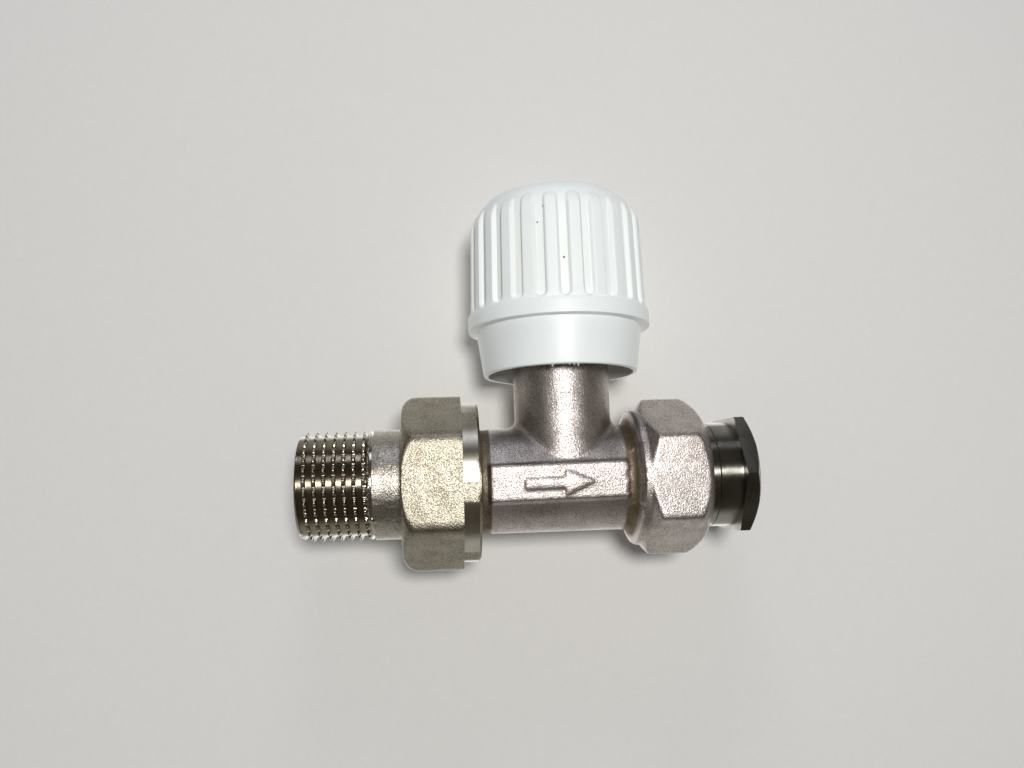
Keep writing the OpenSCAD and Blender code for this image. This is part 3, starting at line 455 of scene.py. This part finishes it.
def radiator_tail():
    """Thread with gripping notches, forged neck, collar, and the spigot with its groove. The bore
    starts with the hexagon for the fitter's key."""
    groove_start, groove_stop = RING_GROOVE_X
    rows = [("key", TAIL_END, 0.45), ("plain", TAIL_END, THREAD_R - 1.9)]
    rows += [("thread", x, THREAD_R) for x in spread(TAIL_END, THREAD_STOP, TAIL_ROWS)]
    rows += [("neck", x, NECK_R) for x in spread(THREAD_STOP + 0.05, COLLAR_X, NECK_ROWS)]
    rows += [("plain", x, r) for x, r in (
        (COLLAR_X, NECK_R), (COLLAR_X, COLLAR_R - COLLAR_EDGE), (COLLAR_X + COLLAR_EDGE, COLLAR_R),
        (SPIGOT_X - COLLAR_EDGE, COLLAR_R), (SPIGOT_X, COLLAR_R - COLLAR_EDGE),
        (SPIGOT_X, SPIGOT_R), (groove_start, SPIGOT_R), (groove_start, RING_GROOVE_R),
        (groove_stop, RING_GROOVE_R), (groove_stop, SPIGOT_R),
        (SPIGOT_STOP - SPIGOT_EDGE, SPIGOT_R), (SPIGOT_STOP, SPIGOT_R - SPIGOT_EDGE),
        (SPIGOT_STOP, BORE_R + 0.2), (SPIGOT_STOP - 0.2, BORE_R))]
    rows += [("plain", x, BORE_R) for x in spread(27.4, TAIL_END + KEY_DEPTH, 6)]
    rows += [("plain", TAIL_END + KEY_DEPTH, BORE_R)]
    rows += [("key", x, 0.0) for x in spread(TAIL_END + KEY_DEPTH, TAIL_END + KEY_CHAMFER, 8)]
    rows += [("key", TAIL_END + KEY_CHAMFER, 0)]
    dents = np.random.default_rng(11).normal(size=(len(rows), TAIL_COLUMNS))
    for _ in range(3):
        dents = (dents + sum(np.roll(dents, way, axis) for way in (1, -1) for axis in (0, 1))) / 5

    def radius(kind, x, base, angle):
        degrees = np.degrees(angle)
        turns = (x - CREST_AT) / PITCH - angle / (2 * math.pi)
        from_crest = 2 * np.abs(turns - np.round(turns))
        depth = THREAD_DEPTH * (1 - ease(x, *THREAD_FADE))
        thread = THREAD_R - depth * ease(from_crest, CREST_HALF, ROOT_HALF)
        spacing = 360 / NOTCHES
        from_notch = np.abs((degrees - FIRST_NOTCH + spacing / 2) % spacing - spacing / 2)
        notch = NOTCH_DEPTH * (1 - ease(from_notch, *NOTCH_HALF)) * (1 - ease(x, *NOTCH_FADE))
        thread = np.minimum(thread, THREAD_R - notch)
        lead_in = THREAD_R - LEAD_IN + (x - TAIL_END) * LEAD_IN / LEAD_IN_LENGTH
        relief = THREAD_R - RELIEF * ease(x, *RELIEF_FADE)
        thread = np.minimum(np.minimum(thread, lead_in), relief)
        burr = BURR_RISE * np.exp(
            -((x - BURR_X) / BURR_LENGTH) ** 2 - ((degrees - BURR_ANGLE) / BURR_WIDTH) ** 2)
        neck = NECK_R - NECK_PROUD + np.clip(NECK_DENT * dents, -NECK_DENT, NECK_PROUD)
        r = np.where(kind == "thread", thread + burr, base)
        r = np.where(kind == "neck", neck + burr, r)
        return np.where(kind == "key", to_flats(angle, KEY_ACROSS) + base, r)

    return turned_skin("radiator_tail", rows, TAIL_COLUMNS, radius, 50)


# Union nut

NUT_COLUMNS = 480
NUT_ACROSS, NUT_TURN, NUT_R, NUT_ROUND = 30.0, 1.0, 16.95, 2.9
NUT_COLLAR_X, NUT_COLLAR_R, NUT_BACK_R = 29.8, 15.4, 15.0
NUT_LIP_R, NUT_THREAD_R, NUT_LIP_X = 10.95, 13.16, 21.1
# How softly the flats meet the round parts, and the turn in degrees over which the collar grows
FORGED_BLEND, CUT_BLEND, COLLAR_GROWS = 0.55, 0.12, 24
# How far past a flat's middle the collar is round again, in degrees
COLLAR_ROUND_AGAIN = 13.1


def past_the_flat(degrees):
    """How far an angle round the pipe line, in degrees from the front and downwards, is past the
    middle of the nearest flat."""
    return (degrees - NUT_TURN + 30) % 60 - 30


def union_nut():
    """Forged hexagon with a rounded front, and a turned collar that the flats just cut. Upwards
    from each flat's middle the collar grows slowly from the flat to its full radius."""
    round_x = NUT_START + NUT_ROUND
    rows = [("inside", NUT_START, NUT_LIP_R + 0.4), ("outside", NUT_START, 13.3),
            ("outside", NUT_START + 0.05, 14.0)]
    rows += [("outside", x, r) for x, r in arc(round_x, NUT_R - NUT_ROUND, NUT_ROUND, -75, 0, 14)]
    rows += [("outside", x, NUT_R) for x in spread(round_x, 29.5, 14)]
    rows += [("outside", 29.55, NUT_R), ("edge", 29.75, NUT_R - 0.2),
             ("collar", NUT_COLLAR_X, NUT_COLLAR_R)]
    rows += [("collar", x, NUT_COLLAR_R) for x in spread(29.9, 32.6, 5)]
    rows += [("collar", NUT_STOP - 0.4, NUT_COLLAR_R), ("edge", NUT_STOP, NUT_BACK_R),
             ("edge", NUT_STOP, 13.6), ("inside", NUT_STOP - 0.4, NUT_THREAD_R)]
    rows += [("inside", x, NUT_THREAD_R) for x in spread(32.4, NUT_LIP_X, 4)]
    rows += [("inside", NUT_LIP_X, NUT_THREAD_R), ("inside", NUT_LIP_X, NUT_LIP_R),
             ("inside", 18.7, NUT_LIP_R)]

    def radius(kind, x, base, angle):
        flats = to_flats(angle, NUT_ACROSS, NUT_TURN)
        cut = rounded_min(base, flats, np.where(kind == "outside", FORGED_BLEND, CUT_BLEND))
        above = -past_the_flat(np.degrees(angle))
        grown = NUT_ACROSS / 2 + (base - NUT_ACROSS / 2) * ease(above, 0, COLLAR_GROWS)
        cut = np.where((kind == "collar") & (above > 0), grown, cut)
        return np.where(kind == "inside", base, cut)

    return turned_skin("union_nut_forging", rows, NUT_COLUMNS, radius, 35)


# Compression screw

SCREW_COLUMNS = 360
SCREW_ACROSS, SCREW_TURN, SCREW_BLEND = 22.0, 31.4, 0.10
SCREW_R, SCREW_BORE_R, RELIEF_R = 10.3, 7.6, 10.1
SCREW_THREAD_X, SCREW_THREAD_ROWS, SCREW_THREAD_DEPTH = (72.75, 76.6), 60, 0.7
SCREW_THREAD_RISE, SCREW_THREAD_FALL = (72.6, 73.1), (76.1, 76.6)
HEAD_X, HEAD_R, HEAD_FACE_R = 82.95, 13.2, 10.6
HEAD_CHAMFER = 30


def compression_screw():
    """Turned screw: thread, relief groove, polished shank, and a hexagon head chamfered on its
    outer face."""
    chamfer = math.tan(math.radians(HEAD_CHAMFER))
    rows = [("round", SCREW_START, 8.9), ("round", SCREW_START, 9.5),
            ("round", SCREW_START + 0.8, SCREW_R)]
    rows += [("thread", x, SCREW_R) for x in spread(*SCREW_THREAD_X, SCREW_THREAD_ROWS)]
    rows += [("round", SCREW_THREAD_X[1], SCREW_R), ("round", 76.8, RELIEF_R),
             ("round", 78.5, RELIEF_R), ("round", 78.7, SCREW_R)]
    rows += [("round", x, SCREW_R) for x in spread(79.0, 82.8, 6)]
    rows += [("round", HEAD_X - 0.02, SCREW_R)]
    rows += [("head", HEAD_X, SCREW_R + 0.15), ("head", HEAD_X, HEAD_R)]
    rows += [("head", x, HEAD_R) for x in spread(HEAD_X + 0.05, 84.6, 4)]
    rows += [("head", SCREW_STOP - (r - HEAD_FACE_R) * chamfer, r)
             for r in spread(HEAD_R, HEAD_FACE_R, 8)]
    rows += [("round", SCREW_STOP, HEAD_FACE_R), ("round", SCREW_STOP, SCREW_BORE_R + 0.6),
             ("round", SCREW_STOP - 0.6, SCREW_BORE_R)]
    rows += [("round", x, SCREW_BORE_R) for x in spread(85.4, 73.4, 5)]
    rows += [("round", 73.4, SCREW_BORE_R)]

    def radius(kind, x, base, angle):
        head = rounded_min(base, to_flats(angle, SCREW_ACROSS, SCREW_TURN), SCREW_BLEND)
        deep = ease(x, *SCREW_THREAD_RISE) * (1 - ease(x, *SCREW_THREAD_FALL))
        thread = base - SCREW_THREAD_DEPTH * deep * thread_wave(x, np.degrees(angle))
        return np.where(kind == "head", head, np.where(kind == "thread", thread, base))

    return turned_skin("compression_screw", rows, SCREW_COLUMNS, radius, 25)


# Handwheel

WHEEL_COLUMNS = 576
PADS, PAD_WIDTH, FIRST_PAD = 24, 3.0, 4.9
# The pads' width is measured at this radius
WIDTH_AT_R = 17.5
PAD_LOW_R, PAD_HIGH_R, GROOVE_LOW_R, GROOVE_HIGH_R = 17.75, 17.4, 16.9, 16.55
CROWN_Z, SHOULDER_Z, ARCH_Z, PADS_STOP_Z, DOME_R = 32.95, 50.75, 52.35, 54.6, 6.6
# The pads' flanks lie between these distances from their outline, inwards. Above the shoulder the
# pads turn in on a round edge, which starts a little lower
PAD_SLOPE = (-0.1, 0.5)
PAD_TOP_ROUND, PAD_TOP_EARLY = 5.6, 0.9
FOOT_BAND = 0.5
COLLAR_Z, WHEEL_COLLAR_R, SKIRT_HIGH_R, SKIRT_LOW_R = 29.8, 18.3, 16.6, 15.45
SKIRT_Z, LIP_ROUND = (21.15, 29.3), 0.35
CAVITY_R, CAVITY_Z, CEILING_Z, CEILING_EDGE = 14.65, 31.0, 55.75, 4.7
HUB_R, HUB_MOUTH_R, HUB_LOW_Z, HUB_CHAMFER = 5.4, 3.15, 42.45, 0.6
SOCKET_ACROSS, SOCKET_Z, SCREW_SEAT_Z, SHANK_HOLE_R = 4.42, 49.65, 50.85, 1.7
CAP_R, CAP_SEAT_Z, SCREW_HOLE_R = 4.6, 56.45, 4.0
WEB_START, WEB_REACH, WEB_THICK, WEB_HIGH, WEB_FOOT = 5.0, 10.5, 1.2, 6.3, 45.45
TRIM_ANGLES, TRIM_DROP = (-14.0, 30.0), 0.6


def handwheel_moulding():
    """One moulding: skirt, collar, crown with 24 pads between grooves, and inside it the hub and
    its four webs. The pads have arched tops, and the grooves have round feet. A ragged bit of trim
    hangs at the near lip."""
    groove_half = (2 * math.pi * WIDTH_AT_R / PADS - PAD_WIDTH) / 2
    skirt_low_z, skirt_high_z = SKIRT_Z
    lip_r = SKIRT_LOW_R - LIP_ROUND
    rows = [("lip", WHEEL_FOOT, 14.55), ("plain", WHEEL_FOOT, lip_r)]
    rows += [("plain", z, r) for z, r in arc(skirt_low_z, lip_r, LIP_ROUND, -60, 0, 3)]
    widens = (SKIRT_HIGH_R - SKIRT_LOW_R) / (skirt_high_z - skirt_low_z)
    rows += [("plain", z, SKIRT_LOW_R + (z - skirt_low_z) * widens)
             for z in spread(skirt_low_z, skirt_high_z, 6)]
    rows += [("plain", z, r) for z, r in (
        (skirt_high_z, SKIRT_HIGH_R), (29.65, 16.68), (COLLAR_Z, 16.9), (COLLAR_Z, 18.15),
        (29.86, 18.25), (30.05, WHEEL_COLLAR_R))]
    rows += [("plain", z, WHEEL_COLLAR_R) for z in spread(30.3, 32.7, 4)]
    rows += [("plain", 32.7, WHEEL_COLLAR_R), ("plain", 32.88, 18.22), ("plain", CROWN_Z, 18.05)]
    for z in (spread(CROWN_Z + 0.01, 35.4, 22) + spread(35.4, 50.4, 16)
              + spread(50.4, PADS_STOP_Z, 34)):
        if z < SHOULDER_Z:
            up = (z - CROWN_Z) / (SHOULDER_Z - CROWN_Z)
            r = GROOVE_LOW_R + up * (GROOVE_HIGH_R - GROOVE_LOW_R)
        else:
            r = GROOVE_HIGH_R - DOME_R + math.sqrt(DOME_R ** 2 - (z - SHOULDER_Z) ** 2)
        rows.append(("crown", z, r))
    start = math.degrees(math.asin((PADS_STOP_Z - SHOULDER_Z) / DOME_R))
    dome_r = GROOVE_HIGH_R - DOME_R
    rows += [("plain", z, r) for z, r in arc(SHOULDER_Z, dome_r, DOME_R, start, 90, 12)]
    rows += [("plain", WHEEL_TOP - 0.7 * r / dome_r, r) for r in spread(dome_r, CAP_R, 6)]
    rows += [("plain", z, r) for z, r in (
        (WHEEL_TOP - 0.33, CAP_R), (CAP_SEAT_Z, CAP_R - 0.04), (CAP_SEAT_Z, SCREW_HOLE_R),
        (SCREW_SEAT_Z, SCREW_HOLE_R), (SCREW_SEAT_Z, SHANK_HOLE_R), (SOCKET_Z, SHANK_HOLE_R))]
    rows += [("square", SOCKET_Z, 0), ("square", HUB_LOW_Z + HUB_CHAMFER, 0)]
    rows += [("plain", HUB_LOW_Z + HUB_CHAMFER, HUB_MOUTH_R), ("plain", HUB_LOW_Z, HUB_MOUTH_R),
             ("plain", HUB_LOW_Z, HUB_R)]
    rows += [("plain", z, HUB_R) for z in spread(42.6, 55.2, 5)] + [("plain", CEILING_Z, HUB_R)]
    edge_z, edge_r = CEILING_Z - CEILING_EDGE, CAVITY_R - CEILING_EDGE
    rows += [("plain", z, r) for z, r in arc(edge_z, edge_r, CEILING_EDGE, 90, 0, 8)]
    rows += [("plain", z, CAVITY_R) for z in spread(edge_z, CAVITY_Z, 5)]
    rows += [("plain", CAVITY_Z, CAVITY_R), ("plain", COLLAR_Z, 15.15), ("plain", 25.0, 14.8)]
    ragged = np.random.default_rng(5).normal(size=(1, WHEEL_COLUMNS))
    for _ in range(2):
        ragged = (ragged + np.roll(ragged, 1, 1) + np.roll(ragged, -1, 1)) / 3

    def radius(kind, z, base, angle):
        step = 2 * math.pi / PADS
        from_pad = np.abs((angle - math.radians(FIRST_PAD) + step / 2) % step - step / 2)
        side = from_pad * WIDTH_AT_R
        low = PAD_LOW_R + (z - CROWN_Z) / (SHOULDER_Z - CROWN_Z) * (PAD_HIGH_R - PAD_LOW_R)
        over = np.maximum(z - SHOULDER_Z + PAD_TOP_EARLY, 0)
        turned_in = PAD_HIGH_R - PAD_TOP_ROUND + np.sqrt(
            np.maximum(PAD_TOP_ROUND ** 2 - over ** 2, 0.01))
        pad = np.where(over > 0, np.minimum(low, turned_in), low)
        into_pad = PAD_WIDTH / 2 - np.hypot(side, np.maximum(z - ARCH_Z, 0))
        foot_z = CROWN_Z + FOOT_BAND + groove_half
        from_groove = np.hypot(groove_half + PAD_WIDTH / 2 - side, np.maximum(foot_z - z, 0))
        into_band = np.where(z < foot_z, from_groove - groove_half, into_pad)
        raised = ease(np.maximum(into_pad, into_band), *PAD_SLOPE)
        r = np.where(kind == "crown", base + np.maximum(pad - base, 0) * raised, base)
        return np.where(kind == "square", to_flats(angle, SOCKET_ACROSS, 45, 4), r)

    def shift(kind, z, base, angle):
        turn = (np.degrees(angle) + 180) % 360 - 180
        here = (turn > TRIM_ANGLES[0]) & (turn < TRIM_ANGLES[1]) & (kind == "lip")
        return np.where(here, -TRIM_DROP * np.clip(ragged * 1.5, 0, 1), 0)

    piece = turned_skin("handwheel_moulding", rows, WHEEL_COLUMNS, radius, 40, True, shift)
    whole = bmesh.new()
    whole.from_mesh(piece.data)
    size = Matrix.Diagonal((WEB_REACH * MM, WEB_THICK * MM, WEB_HIGH * MM, 1.0))
    middle = Vector((WEB_START + WEB_REACH / 2, 0, WEB_FOOT + WEB_HIGH / 2)) * MM
    stem = Matrix.Translation(Vector((STEM_X * MM, 0, 0)))
    for turn in (45, 135, 225, 315):
        web = bmesh.ops.create_cube(whole, size=1.0)["verts"]
        spin = stem @ Matrix.Rotation(math.radians(turn), 4, "Z")
        bmesh.ops.transform(whole, matrix=spin @ Matrix.Translation(middle) @ size, verts=web)
    whole.to_mesh(piece.data)
    whole.free()
    return piece


# Forged body

SKIN_STEP, QUICK_STEP, WELD = 0.36, 0.45, 0.001
FLOW_ARROW = ((41.5, -0.95), (49.0, -0.95), (49.0, -2.3), (54.0, -0.2), (49.0, 1.9), (49.0, 0.55),
              (41.5, 0.55))
ARROW_FRONT, ARROW_BACK = -11.05, -10.2
# The union end's thread: where it comes in and goes out, outside the radius of the recess
BODY_THREAD_DEPTH, BODY_THREAD_RISE, BODY_THREAD_FALL = 0.8, (25.2, 25.9), (31.5, 32.2)
BODY_THREAD_STOP, BODY_THREAD_IN_R, RECESS_R = 32.6, 11.5, 11.9
BARREL_R, FILLET_X, FILLET_R = 10.25, 61.0, 2.2
# The pads: their two ends, half their turn round the pipe line in degrees, and how many degrees the
# front one is turned down at its left and right end
PAD_START, PAD_STOP, PAD_HALF_TURN, PAD_LEAN = 35.3, 60.7, 28, (4.6, 2.6)
PAD_LEAN_FADE = (26.0, 50.0)


def forged_body():
    """The body's solid with a flow arrow on its front pad, drawn into one skin whose edges are
    eased as by a die. Then its points are moved: the union end gets its thread, the pads' right
    ends run out raggedly, their left ends reach a little further, and the front one leans."""
    mesh = bpy.data.meshes.new("valve_body_forging")
    both = bmesh.new()
    both.from_mesh(nodes["body"].data)
    front, back = [[both.verts.new((x * MM, y * MM, z * MM)) for x, z in FLOW_ARROW]
                   for y in (ARROW_FRONT, ARROW_BACK)]
    both.faces.new(front)
    both.faces.new(back[::-1])
    for i in range(len(FLOW_ARROW)):
        both.faces.new((front[i - 1], back[i - 1], back[i], front[i]))
    both.to_mesh(mesh)
    both.free()
    piece = linked("valve_body_forging", mesh)
    piece.modifiers.new("weld", "WELD").merge_threshold = WELD * MM
    skin = piece.modifiers.new("skin", "REMESH")
    skin.mode = "VOXEL"
    skin.voxel_size = SKIN_STEP * MM
    eased = piece.modifiers.new("eased", "SMOOTH")
    eased.factor = 0.5
    eased.iterations = 4
    bpy.context.view_layer.update()
    shown = piece.evaluated_get(bpy.context.evaluated_depsgraph_get())
    done = bpy.data.meshes.new_from_object(shown)
    piece.modifiers.clear()
    piece.data = done
    points = np.zeros(len(done.vertices) * 3, np.float32)
    done.vertices.foreach_get("co", points)
    x, y, z = points.reshape(-1, 3).T / MM
    r, turn = np.hypot(y, z), np.degrees(np.arctan2(-z, -y))
    beside = np.minimum(np.abs(turn), 180 - np.abs(turn))

    threaded = ease(x, *BODY_THREAD_RISE) * (1 - ease(x, *BODY_THREAD_FALL)) * (r > RECESS_R)
    r = r - BODY_THREAD_DEPTH * threaded * thread_wave(x, turn)

    ragged = 0.12 * np.sin(2.3 * z) + 0.08 * np.sin(5.1 * z + 1)
    fillet = np.sqrt(np.maximum(FILLET_R ** 2 - (x - FILLET_X) ** 2, 0))
    foot = np.where(x < FILLET_X, BARREL_R, BARREL_R + FILLET_R - fillet)
    over = (x > PAD_STOP - 0.5) & (x < FILLET_X + FILLET_R) & (beside < PAD_HALF_TURN) & (r > foot)
    kept = 1 - ease(x + ragged, PAD_STOP - 0.2, PAD_STOP + 0.4)
    r = np.where(over, foot + (r - foot) * kept, r)

    along = np.clip((x - PAD_START) / (PAD_STOP - PAD_START), 0, 1)
    lean = PAD_LEAN[0] + (PAD_LEAN[1] - PAD_LEAN[0]) * along
    near = ease(x, PAD_START - 1.5, PAD_START) * (1 - ease(x, PAD_STOP, PAD_STOP + 2.0))
    turn = turn + lean * near * (1 - ease(np.abs(turn), *PAD_LEAN_FADE)) * (r > BARREL_R - 0.5)
    x = x - 0.4 * near * (1 - ease(x, PAD_START + 1.0, PAD_START + 5.0)) * (beside < 40)

    radians = np.radians(turn)
    points = np.stack([x, -r * np.cos(radians), -r * np.sin(radians)], -1) * MM
    done.vertices.foreach_set("co", points.ravel())
    done.polygons.foreach_set("use_smooth", np.ones(len(done.polygons), bool))
    return piece


# Camera

lens = bpy.data.cameras.new("camera")
lens.lens = LENS
lens.sensor_width = SENSOR
lens.clip_start = 0.001
lens.clip_end = 20.0
camera = linked("camera", lens)
ahead = Vector(CAMERA_AHEAD).normalized()
right = Vector(CAMERA_RIGHT)
right = (right - ahead * right.dot(ahead)).normalized()
turned = Matrix((right, right.cross(ahead), -ahead)).transposed().to_4x4()
camera.matrix_world = Matrix.Translation(Vector(CAMERA_AT) * MM) @ turned
scene.camera = camera

# Pieces that stand for solids

# At both ends of the barrel, and in the corners beside the tower: golden thin plating whose dark
# colour is partly painted shade in these fillets
THIN_PLATING_AND_SHADE = (
    (30.0, 33.0, 34.8, 35.3, -20.0, 1.0),
    (60.4, 61.0, 62.4, 62.9, -20.0, 1.0),
    (38.5, 40.5, 41.0, 42.2, 7.5, 0.45),
    (58.0, 59.2, 60.0, 61.5, 7.5, 0.45),
)
# The thread's roots: painted shade with some tarnish, darkening from 10.3 mm down to 9.7 mm
ROOT_SHADE_AND_TARNISH = ("#7b7262", 9.7, 10.3)
nickel_body = forged_nickel(
    "nickel_on_forged_body", "#c6beba", "#807871", 0.43, "#67573b", THIN_PLATING_AND_SHADE)
nickel_neck = forged_nickel("nickel_on_forged_neck", "#b9b3aa", "#777062", 0.38)
nickel_nut = forged_nickel("nickel_on_forged_nut", "#9b9486", "#625c4a", 0.40)
nickel_collar = turned_nickel("nickel_on_turned_collar", "#b9b5ac", "#a09a8c", 0.36, 0.6)
nickel_thread = turned_nickel("nickel_on_cut_thread", "#c8c4bc", "#aca799", 0.22, 0.85, ROOT_SHADE_AND_TARNISH)
nickel_screw = turned_nickel("nickel_on_turned_screw", "#8a8883", "#6c6a61", 0.21, 0.92)
white_abs = moulded_abs()
brass = turned_brass()
nitrile = moulded_nitrile()
steel = plated_steel()
fibre = pressed_fibre()


def on_the_neck(x, y, z):
    """The outside of the forged neck."""
    return (x > THREAD_STOP) & (x < COLLAR_X) & (np.hypot(y, z) > 10.3)


def on_the_burr(x, y, z):
    """The burr, where the plating is torn off the brass."""
    return (np.hypot(y, z) > BURR_BARE_R) & (x > BURR_X - 1) & (x < BURR_X + 1)


tail = radiator_tail()
dress(tail, nickel_thread, (nickel_neck, on_the_neck), (brass, on_the_burr))
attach(tail, "tail")
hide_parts("tailpiece")


def off_the_flats(x, y, z):
    """The collar's round parts and all that is turned inside. The collar stays as forged on the
    lower half of each stretch that the flats cut."""
    turn = past_the_flat(np.degrees(np.arctan2(-z, -y)))
    collar = (x > NUT_COLLAR_X - 0.1) & (x < NUT_STOP - 0.2)
    collar &= (turn < -0.5) | (turn > COLLAR_ROUND_AGAIN)
    return collar | (x > NUT_STOP - 0.2) | (np.hypot(y, z) < NUT_THREAD_R + 0.2)


nut = union_nut()
dress(nut, nickel_nut, (nickel_collar, off_the_flats))
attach(nut, "coupling_nut")
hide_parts("union_nut")

screw = compression_screw()
dress(screw, nickel_screw)
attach(screw, "compression_screw")
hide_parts("gland_screw")


def on_the_body_thread(x, y, z):
    """The turned thread of the union end."""
    return (x < BODY_THREAD_STOP) & (np.hypot(y, z) > BODY_THREAD_IN_R)


body = forged_body()
dress(body, nickel_body, (nickel_collar, on_the_body_thread))
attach(body, "valve_body")
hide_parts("body")

wheel = handwheel_moulding()
dress(wheel, white_abs)
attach(wheel, "handwheel_and_spindle")
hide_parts("handwheel")

# Solids that show as they are
for name, material in {
        "tail_o_ring": nitrile, "packing_ring": nitrile, "spindle_o_ring": nitrile,
        "disc_seal": nitrile, "olive": brass, "bonnet": brass, "packing_washer": brass,
        "packing_nut": brass, "spindle": brass, "disc_holder": brass, "disc_nut": brass,
        "swivel_clip": steel, "handwheel_screw": steel, "bonnet_gasket": fibre,
        "handwheel_cap": white_abs}.items():
    dress(nodes[name], material)

# Stage: pale paper behind the valve, seen from its front only. It casts no shadow on what lies
# behind it, and the metal mirrors the pale room in its place, as the paper is dark by the valve

PAPER_Y, PAPER_HALF, PAPER_FIBRE = 18.9, 600.0, 0.8


def matt_paper():
    """Paper, rolled and matt: an even pale grey with fibres about 0.8 mm long. Its back lets light
    and view by."""
    material, tree = blank_material("paper_matt")
    spot = add(tree, "TexCoord", out="Object")
    fibres = add(tree, "TexNoise", {"Vector": spot, "Scale": 1 / (PAPER_FIBRE * MM), "Detail": 3.0})
    colour = add(tree, "Mix", {0: fibres, 6: linear("#e0deda"), 7: linear("#e6e4e0")}, 2,
                 data_type="RGBA")
    matt = add(tree, "BsdfDiffuse", {"Color": colour, "Roughness": 1.0})
    clear = add(tree, "BsdfTransparent")
    back = add(tree, "NewGeometry", out="Backfacing")
    add(tree, "OutputMaterial", {"Surface": add(tree, "MixShader", {0: back, 1: matt, 2: clear})})
    return material


sheet = bpy.data.meshes.new("pale_paper")
sheet.from_pydata([(x * PAPER_HALF * MM, PAPER_Y * MM, z * PAPER_HALF * MM)
                   for x, z in ((-1, -1), (1, -1), (1, 1), (-1, 1))], [], [(0, 1, 2, 3)])
paper = linked("pale_paper", sheet)
paper.data.materials.append(matt_paper())
paper.visible_shadow = False
paper.visible_glossy = False

# Soft studio light, in metres and watts: a lamp close above and right of the lens, a weak cool one
# overhead, a wide low one behind, and the room

AIM = Vector((0.045, 0.0, 0.018))
LAMPS = (
    ("lens_lamp", (0.055, -0.35, 0.030), 0.075, 0.95, "#ffffff"),
    ("overhead_lamp", (0.030, -0.16, 0.320), 0.11, 0.18, "#e6edff"),
    ("rear_lamp", (0.100, 0.70, 0.060), 1.20, 3.40, "#ffffff"),
)
for name, at, size, watts, colour in LAMPS:
    lamp = bpy.data.lights.new(name, "AREA")
    lamp.shape = "DISK"
    lamp.size = size
    lamp.energy = watts
    lamp.color = linear(colour)[:3]
    stand = linked(name, lamp)
    stand.location = at
    stand.rotation_euler = (AIM - Vector(at)).to_track_quat("-Z", "Y").to_euler()

# The room is dim where it lights the valve, cool on matt faces and warm in the metal. The camera
# sees it pale, and so does the metal where it mirrors what lies behind the valve
ROOM_LEVEL, PALE_LEVEL = 0.17, 1.0

world = bpy.data.worlds.new("room")
world.use_nodes = True
scene.world = world
tree = world.node_tree
tree.nodes.clear()
rays = add(tree, "LightPath", out=None)
heading = add(tree, "SeparateXYZ", {0: add(tree, "TexCoord", out="Generated")}, "Y")
behind = add(tree, "MapRange", {"Value": heading, "From Min": -0.2, "From Max": 0.3},
             interpolation_type="SMOOTHSTEP")
mirrored = add(tree, "Math", {0: rays["Is Glossy Ray"], 1: rays["Is Transmission Ray"]},
               operation="MAXIMUM")
mirrored = add(tree, "Math", {0: mirrored, 1: behind}, operation="MULTIPLY")
seen = add(tree, "Math", {0: rays["Is Camera Ray"], 1: mirrored}, operation="MAXIMUM")
room = add(tree, "Mix", {0: rays["Is Glossy Ray"], 6: linear("#f8f9ff"), 7: linear("#c8bda9")}, 2,
           data_type="RGBA")
dim = add(tree, "Background", {"Color": room, "Strength": ROOM_LEVEL})
pale = add(tree, "Background", {"Color": linear("#d6d4cf"), "Strength": PALE_LEVEL})
add(tree, "OutputWorld", {"Surface": add(tree, "MixShader", {0: seen, 1: dim, 2: pale})})

scene.view_settings.view_transform = "Standard"
